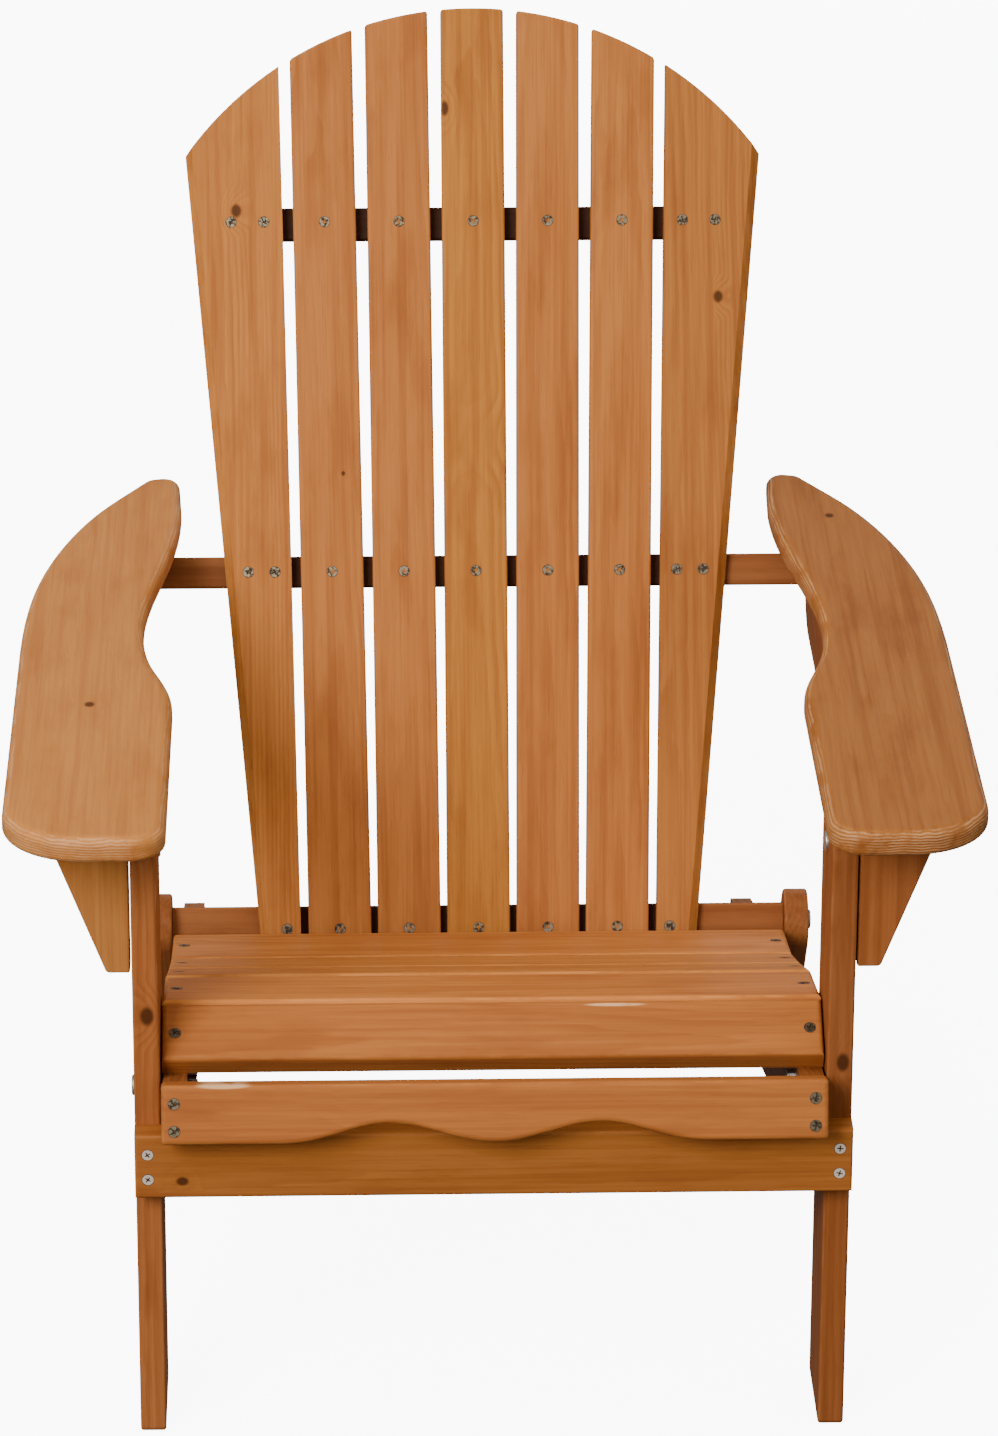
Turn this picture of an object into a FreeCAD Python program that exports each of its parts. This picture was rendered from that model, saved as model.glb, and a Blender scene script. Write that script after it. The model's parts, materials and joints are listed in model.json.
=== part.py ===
import FreeCAD, Part
import math
import os

V = FreeCAD.Vector

# A folding slatted garden armchair with a fan back. Millimetres.
# Axes while building: X across the chair, Y backwards from the front face of the
# front legs, Z up from the floor. The finished solids are moved along Y so that the origin is
# the centre of the footprint.

# ---------------------------------------------------------------- driving dimensions
ARM_FRONT_Y = -90.0
FOOT_REAR_Y = 800.0
CENTRE_Y = (ARM_FRONT_Y + FOOT_REAR_Y) / 2

SEAT_HALF = 252.0               # half length of the seat slats and the apron
STRINGER_INNER, STRINGER_OUTER = 233.0, 251.0
LEG_INNER, LEG_OUTER = 253.2, 273.2
RAIL_INNER, RAIL_OUTER = 277.2, 295.2

LEG_DEPTH = 92.0
STRINGER_ABOVE, STRINGER_BELOW = 50.0, 45.0     # edges either side of the pivots' line
SEAT_SLOPE = 18.0               # degrees, down towards the back
BACK_RECLINE = 23.0             # degrees from upright

# pivots in the side view, as (Y, Z)
LEG_PIVOT = V(0, LEG_DEPTH / 2, 278)
ARM_PIVOT = V(0, LEG_DEPTH / 2, 478)
BACK_FOOT_PIVOT = V(0, 459, 222)
BACK_ARM_REACH = 291.0          # from the back's foot pivot up to its arm pivot
FOLDED_STACK = 101.0            # back rails above the stringer's middle when folded flat

STRETCHER_TOP, STRETCHER_BOTTOM = 267.0, 214.0
STRETCHER_THICK = 20.0
STRETCHER_SCREW_RISE = 10.5     # from the stretcher's middle to its screws
STOP_GAP = 0.5                  # stringer shelf above the stretcher
STRETCHER_SWING = 46.0          # radius of the stringer's throat about the leg pivot

SEAT_SLAT = 92.0
SEAT_THICK = 20.0
SEAT_GAP = 8.0
SEAT_START = V(0, 55, 345)      # front top edge of the first flat slat
SEAT_SLOPES = (14.0, 22.0, 20.5, 13.0)
NOSE_SLOPE = 33.4
NOSE_WIDTH = 50.0
NOSE_SCREW = 23.5                # from the nose slat's lower edge to its screws
NOSE_STEP = V(0, -3, -1)         # from the first flat slat's edge to the nose slat's
MITRE_GAP = 1.0                 # between the nose slat's mitre and the first flat slat

APRON_REACH = 70.0              # from the leg pivot forward to the stringer's front end
APRON_THICK = 20.0
APRON_LOW, APRON_HIGH = -33.5, 12.4
APRON_WAVE = 15.0
APRON_WAVE_HALF = 162.0
SNOUT = 8.0                     # height of the stringer's blunt end above its middle
APRON_SCREW_HEIGHTS = (-2.0, -23.0)

SLAT_THICK = 15.0
SLAT_WIDTH = 52.0
SLAT_PITCH = 57.3
FAN = 0.0072                    # extra pitch for each millimetre up the back
SLAT_FOOT = -20.0
CROWN_CENTRE, CROWN_RADIUS = 463.0, 293.0
OUTER_SLAT_IN, OUTER_SLAT_IN_LEAN = 147.0, 0.0182
OUTER_SLAT_OUT, OUTER_SLAT_OUT_LEAN = 181.2, 0.0886
OUTER_BEVEL = 7.0
RAIL_THICK = 17.0
BOTTOM_RAIL = (-20.0, 14.0)
MIDDLE_RAIL = (BACK_ARM_REACH - 13, BACK_ARM_REACH + 13)
TOP_RAIL = (565.5, 592.5)
TOP_RAIL_HALF = 212.0

LINK_WIDTH = 51.0
ARM_UNDER, ARM_THICK = 525.0, 20.0
ARM_TOP_ROUND, ARM_UNDER_ROUND = 9.0, 5.0
ARM_RAIL_DEPTH = 92.0
ARM_RAIL_FRONT, ARM_RAIL_REAR = 24.0, 613.0
BRACKET_INNER = 274.2
BRACKET_BOTTOM, BRACKET_WIDTH, BRACKET_TOP_OUTER = 392.0, 18.0, 343.0
BRACKET_THICK = 20.0

BOLT_RADIUS = 4.0
THIN_BOLT_RADIUS = 3.5
BORE_GAP = 0.05
RUNNING_GAP = 0.5               # between parts that turn past each other
HEAD_RADIUS, HEAD_THICK = 8.0, 2.5
NUT_FLAT, NUT_THICK = 13.0, 6.5
WASHER_RADIUS, WASHER_THICK = 9.0, 1.6
BOLT_TAIL = 1.0                 # past its nut
RAIL_BOLT_DEPTH = 40.0          # of a bolt into the end of a back rail
SCREW_HEAD, SCREW_SHANK, SCREW_SINK = 4.3, 2.0, 2.6
RECESS_HALF, RECESS_SLOT, RECESS_DEPTH = 2.4, 0.5, 1.2
SEAT_SCREW, FRONT_SCREW, BACK_SCREW = 40.0, 45.0, 30.0

# screw places on the back, as (height up the back, distances from the middle)
BACK_SCREWS = {"bottom": (-4.0, (158.0,)),
               "middle": (BACK_ARM_REACH, (166.0, 188.0)),
               "top": (580.0, (173.0, 200.0))}

DOWEL_RADIUS = 4.0
DOWEL_SINK, DOWEL_RISE = 16.0, 12.0
DOWEL_PLACES = (110.0, 300.0, 520.0)    # along the arm rail
BRACKET_DOWEL_X = 322.0
END_DOWEL_HEIGHTS = (450.0, 505.0)      # through the bracket into the rail's end
END_DOWEL_DEPTH = 20.0

# ---------------------------------------------------------------- the folding geometry
slope = math.radians(SEAT_SLOPE)
AXIS_BACK = V(0, math.cos(slope), -math.sin(slope))
AXIS_UP = V(0, math.sin(slope), math.cos(slope))
recline = math.radians(BACK_RECLINE)
UP_BACK = V(0, math.sin(recline), math.cos(recline))
BACK_FRAME = FreeCAD.Placement(BACK_FOOT_PIVOT, FreeCAD.Rotation(V(1, 0, 0), 90 - BACK_RECLINE))
BACK_ARM_PIVOT = BACK_FOOT_PIVOT + UP_BACK * BACK_ARM_REACH


def on_stringer(along, above):
    """A side-view point, measured from the leg pivot along and above the stringer's middle."""
    return LEG_PIVOT + AXIS_BACK * along + AXIS_UP * above


def link_pivot():
    """The link's lower pivot, on the stringer's middle: as far from the back's foot pivot
    when the chair stands as when it is folded flat."""
    foot = BACK_FOOT_PIVOT - LEG_PIVOT
    along, above = foot.dot(AXIS_BACK), foot.dot(AXIS_UP)
    upper_leg = (ARM_PIVOT - LEG_PIVOT).Length
    arm_reach = (BACK_ARM_PIVOT - ARM_PIVOT).Length
    folded = math.sqrt(arm_reach ** 2 - FOLDED_STACK ** 2) - upper_leg + BACK_ARM_REACH
    rise = folded ** 2 + FOLDED_STACK ** 2 - along ** 2 - above ** 2
    return on_stringer(rise / (2 * (folded - along)), 0)


LINK_PIVOT = link_pivot()
nodes = {}


# ---------------------------------------------------------------- shape helpers
def line(start, end):
    return Part.LineSegment(start, end).toShape()


def chain(corners):
    """Edges through a row of (point, radius) corners, each rounded by its radius."""
    edges = []
    here = corners[0][0]
    for before, corner, after in zip(corners, corners[1:], corners[2:]):
        point, radius = corner
        if radius == 0:
            edges.append(line(here, point))
            here = point
            continue
        back = (before[0] - point).normalize()
        ahead = (after[0] - point).normalize()
        half = back.getAngle(ahead) / 2
        start = point + back * (radius / math.tan(half))
        end = point + ahead * (radius / math.tan(half))
        middle = point + (back + ahead).normalize() * (radius / math.sin(half) - radius)
        edges.append(line(here, start))
        edges.append(Part.Arc(start, middle, end).toShape())
        here = end
    edges.append(line(here, corners[-1][0]))
    return edges


def loop(corners):
    """A closed outline through rounded corners."""
    start = ((corners[0][0] + corners[-1][0]) * 0.5, 0)
    return chain([start] + list(corners) + [start])


def slab(edges, thickness):
    """A board whose outline is the edges and whose thickness is a vector."""
    wire = Part.Wire(Part.__sortEdges__(edges))
    return Part.Face(wire).extrude(thickness)


def ease(shape, radius, wanted):
    """Round the edges that the test picks."""
    return shape.makeFillet(radius, [edge for edge in shape.Edges if wanted(edge)])


def flat_at(axis, place):
    """A test for edges that lie wholly at one place along an axis."""
    def wanted(edge):
        box = edge.BoundBox
        low, high = getattr(box, axis + "Min"), getattr(box, axis + "Max")
        return abs(low - place) < 0.01 and abs(high - place) < 0.01
    return wanted


def box(x, y, z):
    """A box between three pairs of coordinates."""
    return Part.makeBox(x[1] - x[0], y[1] - y[0], z[1] - z[0], V(x[0], y[0], z[0]))


def mirrored(shape):
    return shape.mirror(V(0, 0, 0), V(1, 0, 0))


def both_sides(shape):
    return [shape, mirrored(shape)]


def cut_all(shape, tools):
    return shape.cut(Part.makeCompound(tools)) if tools else shape


def rod(centre, radius, start, end):
    """A round bar across the chair at a side-view point, from one X to another."""
    return Part.makeCylinder(radius, end - start, V(start, centre.y, centre.z), V(1, 0, 0))


def ring(centre, outer, inner, start, end):
    return rod(centre, outer, start, end).cut(rod(centre, inner, start, end))


def hex_nut(centre, hole, start, end):
    corner = NUT_FLAT / math.sqrt(3)
    points = [V(start, centre.y + corner * math.cos(math.radians(60 * step)),
                centre.z + corner * math.sin(math.radians(60 * step))) for step in range(6)]
    points.append(points[0])
    prism = Part.Face(Part.makePolygon(points)).extrude(V(end - start, 0, 0))
    return prism.cut(rod(centre, hole, start, end))


def domed_bolt(centre, radius, tip, seat):
    """A bolt from its tip to the face its head sits on; the head stands outside the seat."""
    outward = 1 if seat > tip else -1
    head = rod(centre, HEAD_RADIUS, min(seat, seat + outward * HEAD_THICK),
               max(seat, seat + outward * HEAD_THICK))
    head = ease(head, 1.6, flat_at("X", seat + outward * HEAD_THICK))
    return head.fuse(rod(centre, radius, min(tip, seat), max(tip, seat))).removeSplitter()


def screw_body(at, inward, length):
    """A countersunk screw, flush at a point and driven inward."""
    head = Part.makeCone(SCREW_HEAD, SCREW_SHANK, SCREW_SINK, at, inward)
    neck = at + inward * SCREW_SINK
    return head.fuse(Part.makeCylinder(SCREW_SHANK, length - SCREW_SINK, neck, inward))


def cross_recess(at, inward):
    """The cross-shaped socket in a screw's head."""
    turn = FreeCAD.Rotation(V(0, 0, -1), inward)
    place = FreeCAD.Placement(at, turn)
    long_way, short_way = (-RECESS_HALF, RECESS_HALF), (-RECESS_SLOT, RECESS_SLOT)
    depth = (-RECESS_DEPTH, 1)
    arm = box(long_way, short_way, depth)
    other = box(short_way, long_way, depth)
    cross = arm.fuse(other)
    cross.Placement = place
    return cross


class Screws:
    """A row of identical screws: their solids, and the plain shapes that their holes take."""

    def __init__(self, places, inward, length):
        self.holes = [screw_body(at, inward, length) for at in places]
        self.solids = [hole.cut(cross_recess(at, inward))
                       for hole, at in zip(self.holes, places)]


def keep(name, shape):
    """Put a finished shape in its node, in the chair's own frame."""
    solids = shape if isinstance(shape, list) else [shape]
    pieces = [piece for item in solids for piece in item.Solids]
    whole = pieces[0] if len(pieces) == 1 else Part.makeCompound(pieces)
    whole.translate(V(0, -CENTRE_Y, 0))
    nodes[name] = whole


def keep_sides(name, right):
    """The same piece on both sides, as two nodes."""
    keep("right_" + name, right)
    keep("left_" + name, mirrored(right))


# ---------------------------------------------------------------- the seat
def seat_slat_spots():
    """The front top edge and slope of each flat seat slat, front to back."""
    spots = []
    here = SEAT_START
    for angle in SEAT_SLOPES:
        lean = math.radians(angle)
        run = V(0, math.cos(lean), -math.sin(lean))
        spots.append((here, angle))
        here = here + run * (SEAT_SLAT + SEAT_GAP)
    return spots


def seat_slat(start, angle, width):
    """One slat, its front top edge at a point, sloping down to the back."""
    slat = box((-SEAT_HALF, SEAT_HALF), (0, width), (-SEAT_THICK, 0))
    slat = ease(slat, 4, flat_at("Z", 0))
    slat.Placement = FreeCAD.Placement(start, FreeCAD.Rotation(V(1, 0, 0), -angle))
    return slat


def slat_bottom(start, angle, run):
    """A point under a slat, a run back from its front edge."""
    lean = math.radians(angle)
    down = V(0, -math.sin(lean), -math.cos(lean))
    along = V(0, math.cos(lean), -math.sin(lean))
    return start + down * SEAT_THICK + along * run


def meet(point, direction, other, other_direction):
    """Where two side-view lines cross."""
    cross = direction.y * other_direction.z - direction.z * other_direction.y
    gap = other - point
    step = (gap.y * other_direction.z - gap.z * other_direction.y) / cross
    return point + direction * step


def seat_line():
    """The stringer's top corners under the slats, from the nose to the back of the seat."""
    spots = seat_slat_spots()
    under = [(slat_bottom(start, angle, 0), slat_bottom(start, angle, SEAT_SLAT))
             for start, angle in spots]
    nose_low = slat_bottom(nose_start(), -NOSE_SLOPE, 0)
    nose_high = slat_bottom(nose_start(), -NOSE_SLOPE, NOSE_WIDTH)
    lines = [(nose_low, nose_high)] + under
    corners = [nose_low]
    for first, second in zip(lines, lines[1:]):
        corners.append(meet(first[0], first[1] - first[0], second[0], second[1] - second[0]))
    corners.append(under[-1][1])
    return corners


def nose_start():
    """The lower front edge of the nose slat, which tips forward from the first flat slat."""
    lean = math.radians(NOSE_SLOPE)
    top = SEAT_START + NOSE_STEP
    return top - V(0, math.cos(lean), math.sin(lean)) * NOSE_WIDTH


def nose_slat():
    """The front slat, its upper edge mitred to lie along the first flat slat."""
    slat = seat_slat(nose_start(), -NOSE_SLOPE, NOSE_WIDTH)
    start, angle = seat_slat_spots()[0]
    behind = box((-LEG_INNER, LEG_INNER), (-MITRE_GAP, SEAT_SLAT), (-2 * SEAT_THICK, SEAT_THICK))
    behind.Placement = FreeCAD.Placement(start, FreeCAD.Rotation(V(1, 0, 0), -angle))
    return slat.cut(behind)


def stringer(holes):
    above, below = STRINGER_ABOVE, STRINGER_BELOW
    shelf = STRETCHER_TOP + STOP_GAP - LEG_PIVOT.z
    throat_top = LEG_PIVOT + V(0, -math.sqrt(STRETCHER_SWING ** 2 - shelf ** 2), shelf)
    throat_foot = on_stringer(-math.sqrt(STRETCHER_SWING ** 2 - below ** 2), -below)
    mid_turn = (throat_top - LEG_PIVOT) + (throat_foot - LEG_PIVOT)
    throat_middle = LEG_PIVOT + mid_turn.normalize() * STRETCHER_SWING
    end_low = meet(throat_top, V(0, 1, 0), on_stringer(-APRON_REACH, 0), AXIS_UP)
    end_high = on_stringer(-APRON_REACH, SNOUT)
    seat = seat_line()
    behind_seat = meet(seat[-1], V(0, 0.6, -1), on_stringer(0, above), AXIS_BACK)
    rear = V(0, FOOT_REAR_Y, 0)
    rear_top = meet(rear, V(0, 0, 1), on_stringer(0, above), AXIS_BACK)
    heel = meet(on_stringer(0, -below), AXIS_BACK, rear, V(0, 1, 0))
    corners = [(throat_top, 0), (end_low, 2), (end_high, 3), (seat[0], 0), (seat[1], 6)]
    corners += [(corner, 0) for corner in seat[2:-1]]
    corners += [(seat[-1], 3), (behind_seat, 6), (rear_top, 4), (rear, 3), (heel, 6)]
    corners.append((throat_foot, 0))
    edges = chain(corners) + [Part.Arc(throat_foot, throat_middle, throat_top).toShape()]
    board = slab(edges, V(STRINGER_OUTER - STRINGER_INNER, 0, 0))
    board.translate(V(STRINGER_INNER, 0, 0))
    return cut_all(board, holes)


def seat_screw_rows():
    """The screws down through the slats, one at each end of each slat."""
    rows = []
    inset = (STRINGER_INNER + STRINGER_OUTER) / 2
    spots = [(nose_start(), -NOSE_SLOPE, NOSE_SCREW)]
    spots += [(start, angle, SEAT_SLAT * 0.5) for start, angle in seat_slat_spots()]
    for start, angle, run in spots:
        lean = math.radians(angle)
        at = start + V(0, math.cos(lean), -math.sin(lean)) * run
        inward = V(0, -math.sin(lean), -math.cos(lean))
        places = [at + V(side * inset, 0, 0) for side in (1, -1)]
        rows.append(Screws(places, inward, SEAT_SCREW))
    return rows


def apron(holes):
    """The front board, with a waved lower edge and two arches, square to the stringers."""
    low, high = APRON_LOW, APRON_HIGH
    start, end = V(-SEAT_HALF, low, 0), V(SEAT_HALF, low, 0)
    wave = [V(APRON_WAVE_HALF * step / 2, low + APRON_WAVE * (step % 2), 0)
            for step in range(-2, 3)]
    curve = Part.BSplineCurve()
    curve.interpolate(Points=wave, Tangents=[V(APRON_WAVE_HALF * 0.6, 0, 0)] * len(wave),
                      TangentFlags=[True] * len(wave))
    sides = chain([(wave[-1], 0), (end, 3), (V(SEAT_HALF, high, 0), 3),
                   (V(-SEAT_HALF, high, 0), 3), (start, 3), (wave[0], 0)])
    board = slab(sides + [curve.toShape()], V(0, 0, APRON_THICK))
    board = ease(board, 4, flat_at("Z", APRON_THICK))
    # local z points forward along the stringer, local y up across it
    turn = FreeCAD.Rotation(V(1, 0, 0), 90 - SEAT_SLOPE)
    board.Placement = FreeCAD.Placement(on_stringer(-APRON_REACH, 0), turn)
    return cut_all(board, holes)


def build_seat():
    rows = seat_screw_rows()
    seat_holes = [hole for row in rows for hole in row.holes]
    inset = (STRINGER_INNER + STRINGER_OUTER) / 2
    places = [on_stringer(-APRON_REACH - APRON_THICK, height) + V(side * inset, 0, 0)
              for height in APRON_SCREW_HEIGHTS for side in (1, -1)]
    front = Screws(places, AXIS_BACK, FRONT_SCREW)
    pivots = [rod(centre, BOLT_RADIUS, STRINGER_INNER - 1, STRINGER_OUTER + 1)
              for centre in (LEG_PIVOT, LINK_PIVOT)]
    keep_sides("seat_stringer", stringer(seat_holes + front.holes + pivots))
    keep("nose_slat", cut_all(nose_slat(), seat_holes))
    for number, (start, angle) in enumerate(seat_slat_spots(), 1):
        slat = seat_slat(start, angle, SEAT_SLAT)
        keep("seat_slat_%d" % number, cut_all(slat, seat_holes))
    keep("apron", apron(front.holes))
    keep("seat_slat_screws", [solid for row in rows for solid in row.solids])
    keep("apron_screws", front.solids)
    for name, centre in (("leg_pivot", LEG_PIVOT), ("link_pivot", LINK_PIVOT)):
        nut_start = STRINGER_INNER - NUT_THICK
        bolt = domed_bolt(centre, BOLT_RADIUS, nut_start - BOLT_TAIL,
                           LEG_OUTER + RUNNING_GAP)
        nut = hex_nut(centre, BOLT_RADIUS, nut_start, STRINGER_INNER)
        washer = ring(centre, WASHER_RADIUS, BOLT_RADIUS, STRINGER_OUTER,
                      STRINGER_OUTER + WASHER_THICK)
        keep(name + "_bolts", both_sides(bolt))
        keep(name + "_nuts", both_sides(nut))
        keep(name + "_washers", both_sides(washer))


# ---------------------------------------------------------------- the front legs
def front_leg(holes):
    top = ARM_PIVOT.z
    half = LEG_DEPTH / 2
    edges = chain([(V(LEG_INNER, 0, top), 0), (V(LEG_INNER, 0, 0), 5),
                   (V(LEG_INNER, LEG_DEPTH, 0), 5), (V(LEG_INNER, LEG_DEPTH, top), 0)])
    crown = Part.Arc(V(LEG_INNER, LEG_DEPTH, top), V(LEG_INNER, half, top + half),
                     V(LEG_INNER, 0, top))
    board = slab(edges + [crown.toShape()], V(LEG_OUTER - LEG_INNER, 0, 0))
    board = ease(board, 2.5, lambda edge: (flat_at("X", LEG_INNER)(edge)
                                           or flat_at("X", LEG_OUTER)(edge)))
    return cut_all(board, holes)


def build_front_legs():
    inset = (LEG_INNER + LEG_OUTER) / 2
    middle = (STRETCHER_TOP + STRETCHER_BOTTOM) / 2
    places = [V(side * inset, -STRETCHER_THICK, middle + rise)
              for side in (1, -1)
              for rise in (STRETCHER_SCREW_RISE, -STRETCHER_SCREW_RISE)]
    screws = Screws(places, V(0, 1, 0), FRONT_SCREW)
    bore = rod(LEG_PIVOT, BOLT_RADIUS + BORE_GAP, LEG_INNER - 1, LEG_OUTER + 1)
    fast = rod(ARM_PIVOT, BOLT_RADIUS, LEG_INNER - 1, LEG_OUTER + 1)
    keep_sides("front_leg", front_leg(screws.holes + [bore, fast]))
    stretcher = box((-LEG_OUTER, LEG_OUTER), (-STRETCHER_THICK, 0),
                    (STRETCHER_BOTTOM, STRETCHER_TOP))
    stretcher = ease(stretcher, 2.5, flat_at("Y", -STRETCHER_THICK))
    keep("front_stretcher", cut_all(stretcher, screws.holes))
    keep("stretcher_screws", screws.solids)
    keep("arm_pivot_bolts", both_sides(domed_bolt(ARM_PIVOT, BOLT_RADIUS, LEG_OUTER, LEG_INNER)))


# ---------------------------------------------------------------- the back
def back_link():
    """A short board with round ends between the back's foot and the stringer."""
    radius = LINK_WIDTH / 2
    along = (LINK_PIVOT - BACK_FOOT_PIVOT).normalize()
    across = V(0, -along.z, along.y) * radius
    shift = V(LEG_INNER, 0, 0)
    upper, lower = BACK_FOOT_PIVOT + shift, LINK_PIVOT + shift
    edges = [line(upper + across, lower + across),
             Part.Arc(lower + across, lower + along * radius, lower - across).toShape(),
             line(lower - across, upper - across),
             Part.Arc(upper - across, upper - along * radius, upper + across).toShape()]
    board = slab(edges, V(LEG_OUTER - LEG_INNER, 0, 0))
    board = ease(board, 2.5, lambda edge: (flat_at("X", LEG_INNER)(edge)
                                           or flat_at("X", LEG_OUTER)(edge)))
    bores = [rod(LINK_PIVOT, BOLT_RADIUS + BORE_GAP, LEG_INNER - 1, LEG_OUTER + 1),
             rod(BACK_FOOT_PIVOT, THIN_BOLT_RADIUS + BORE_GAP, LEG_INNER - 1, LEG_OUTER + 1)]
    return cut_all(board, bores)


def crown_height(place, lean):
    """How far up the back a slat's edge meets the crown's circle."""
    height = CROWN_CENTRE + CROWN_RADIUS
    for _ in range(20):
        height = CROWN_CENTRE + math.sqrt(CROWN_RADIUS ** 2 - (place + lean * height) ** 2)
    return height


def back_slat(left, left_lean, right, right_lean, bevel_side):
    """A slat between two leaning edges, flat at the foot and on the crown's arc at the top."""
    front = RAIL_THICK / 2

    def at(place, lean, height):
        return V(place + lean * height, height, front)

    left_top = at(left, left_lean, crown_height(left, left_lean))
    right_top = at(right, right_lean, crown_height(right, right_lean))
    middle_x = (left_top.x + right_top.x) / 2
    middle_top = V(middle_x, CROWN_CENTRE + math.sqrt(CROWN_RADIUS ** 2 - middle_x ** 2), front)
    edges = [line(at(left, left_lean, SLAT_FOOT), at(right, right_lean, SLAT_FOOT)),
             line(at(right, right_lean, SLAT_FOOT), right_top),
             Part.Arc(right_top, middle_top, left_top).toShape(),
             line(left_top, at(left, left_lean, SLAT_FOOT))]
    board = slab(edges, V(0, 0, SLAT_THICK))
    face = front + SLAT_THICK
    if bevel_side:
        return bevelled(board, face, bevel_side)
    board = ease(board, 4, lambda edge: (edge.BoundBox.ZLength > SLAT_THICK - 0.1
                                         and edge.BoundBox.YMin > CROWN_CENTRE))
    return ease(board, 2.5, flat_at("Z", face))


def bevelled(board, face, side):
    """Plane the wide bevel down an outer slat's free edge."""
    long_edges = [edge for edge in board.Edges
                  if flat_at("Z", face)(edge) and edge.BoundBox.YLength > CROWN_CENTRE]
    outer = max(long_edges, key=lambda edge: side * edge.CenterOfMass.x)
    return board.makeChamfer(OUTER_BEVEL, [outer])


def back_screw_places(height, outer_pair):
    """Where the screws go through the slats into one rail, in the back's own frame."""
    face = RAIL_THICK / 2 + SLAT_THICK
    places = [V(step * (SLAT_PITCH + FAN * height), height, face) for step in range(-2, 3)]
    for side in (1, -1):
        places += [V(side * place, height, face) for place in outer_pair]
    return places


def rail_bar(half, span):
    bar = box((-half, half), span, (-RAIL_THICK / 2, RAIL_THICK / 2))
    return ease(bar, 2, lambda edge: edge.BoundBox.XLength > half)


def in_back(shape):
    """Stand a shape from the back's own frame up in the chair."""
    placed = shape.copy()
    placed.Placement = BACK_FRAME.multiply(placed.Placement)
    return placed


def build_back():
    inward = V(0, 0, -1)
    rows = {name: Screws(back_screw_places(height, outer), inward, BACK_SCREW)
            for name, (height, outer) in BACK_SCREWS.items()}
    holes = [hole for row in rows.values() for hole in row.holes]
    half = SLAT_WIDTH / 2
    slats = [back_slat(-OUTER_SLAT_OUT, -OUTER_SLAT_OUT_LEAN,
                       -OUTER_SLAT_IN, -OUTER_SLAT_IN_LEAN, -1)]
    for step in range(-2, 3):
        slats.append(back_slat(step * SLAT_PITCH - half, step * FAN,
                               step * SLAT_PITCH + half, step * FAN, 0))
    slats.append(back_slat(OUTER_SLAT_IN, OUTER_SLAT_IN_LEAN,
                           OUTER_SLAT_OUT, OUTER_SLAT_OUT_LEAN, 1))
    for number, slat in enumerate(slats, 1):
        keep("back_slat_%d" % number, in_back(cut_all(slat, holes)))
    foot_half = LEG_INNER - RUNNING_GAP
    arm_half = RAIL_INNER - RUNNING_GAP
    rails = {"bottom": rail_bar(foot_half, BOTTOM_RAIL),
             "middle": rail_bar(arm_half, MIDDLE_RAIL),
             "top": rail_bar(TOP_RAIL_HALF, TOP_RAIL)}
    foot_bolt = domed_bolt(BACK_FOOT_PIVOT, THIN_BOLT_RADIUS, foot_half - RAIL_BOLT_DEPTH,
                           LEG_OUTER + RUNNING_GAP)
    arm_bolt = domed_bolt(BACK_ARM_PIVOT, THIN_BOLT_RADIUS, arm_half - RAIL_BOLT_DEPTH,
                          RAIL_OUTER + RUNNING_GAP)
    bolts = both_sides(foot_bolt) + both_sides(arm_bolt)
    for name, rail in rails.items():
        keep(name + "_back_rail", cut_all(in_back(cut_all(rail, holes)), bolts))
        keep(name + "_rail_screws", [in_back(solid) for solid in rows[name].solids])
    keep("back_foot_bolts", both_sides(foot_bolt))
    keep("back_arm_bolts", both_sides(arm_bolt))


# ---------------------------------------------------------------- the arms
def curve_edge(points, start_direction, end_direction):
    curve = Part.BSplineCurve()
    curve.interpolate(Points=points, InitialTangent=start_direction,
                      FinalTangent=end_direction)
    return curve.toShape()


def arm_board(holes):
    """The paddle-shaped arm: broad in front, waisted inside, drawn in to a narrow tail."""
    z = ARM_UNDER
    inner_front, outer_front = V(243, 165, z), V(365, 290, z)
    outer_tail, inner_tail = V(299, 606, z), V(243, 590, z)
    front = chain([(inner_front, 0), (V(244, ARM_FRONT_Y, z), 28),
                   (V(366, ARM_FRONT_Y, z), 62), (outer_front, 0)])
    outside = curve_edge([outer_front, V(359, 402, z), V(333, 525, z), outer_tail],
                         V(-2, 160, 0), V(-50, 90, 0))
    tail = chain([(outer_tail, 0), (V(274, 652, z), 12), (V(246, 660, z), 14),
                  (inner_tail, 0)])
    inside = curve_edge([inner_tail, V(250, 490, z), V(268, 350, z), V(260, 250, z),
                         inner_front], V(0, -90, 0), V(0, -60, 0))
    board = slab(front + [outside] + tail + [inside], V(0, 0, ARM_THICK))
    board = ease(board, ARM_TOP_ROUND, flat_at("Z", z + ARM_THICK))
    board = ease(board, ARM_UNDER_ROUND, flat_at("Z", z))
    return cut_all(board, holes)


def arm_rail(holes):
    x = RAIL_INNER
    low = ARM_UNDER - ARM_RAIL_DEPTH
    edges = loop([(V(x, ARM_RAIL_FRONT, ARM_UNDER), 0), (V(x, ARM_RAIL_FRONT, low), 0),
                  (V(x, ARM_RAIL_REAR, low), 46), (V(x, ARM_RAIL_REAR, ARM_UNDER), 0)])
    board = slab(edges, V(RAIL_OUTER - RAIL_INNER, 0, 0))
    return cut_all(board, holes)


def arm_bracket(holes):
    """The tapered plate under the front of the arm, facing forward beside the leg."""
    y = ARM_RAIL_FRONT - BRACKET_THICK
    outer = BRACKET_INNER + BRACKET_WIDTH
    edges = loop([(V(BRACKET_INNER, y, ARM_UNDER), 0), (V(BRACKET_INNER, y, BRACKET_BOTTOM), 2),
                  (V(outer, y, BRACKET_BOTTOM), 4), (V(BRACKET_TOP_OUTER, y, ARM_UNDER), 0)])
    board = slab(edges, V(0, BRACKET_THICK, 0))
    board = ease(board, 2, lambda edge: (flat_at("Y", y)(edge)
                                         and not flat_at("Z", ARM_UNDER)(edge)))
    return cut_all(board, holes)


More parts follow.
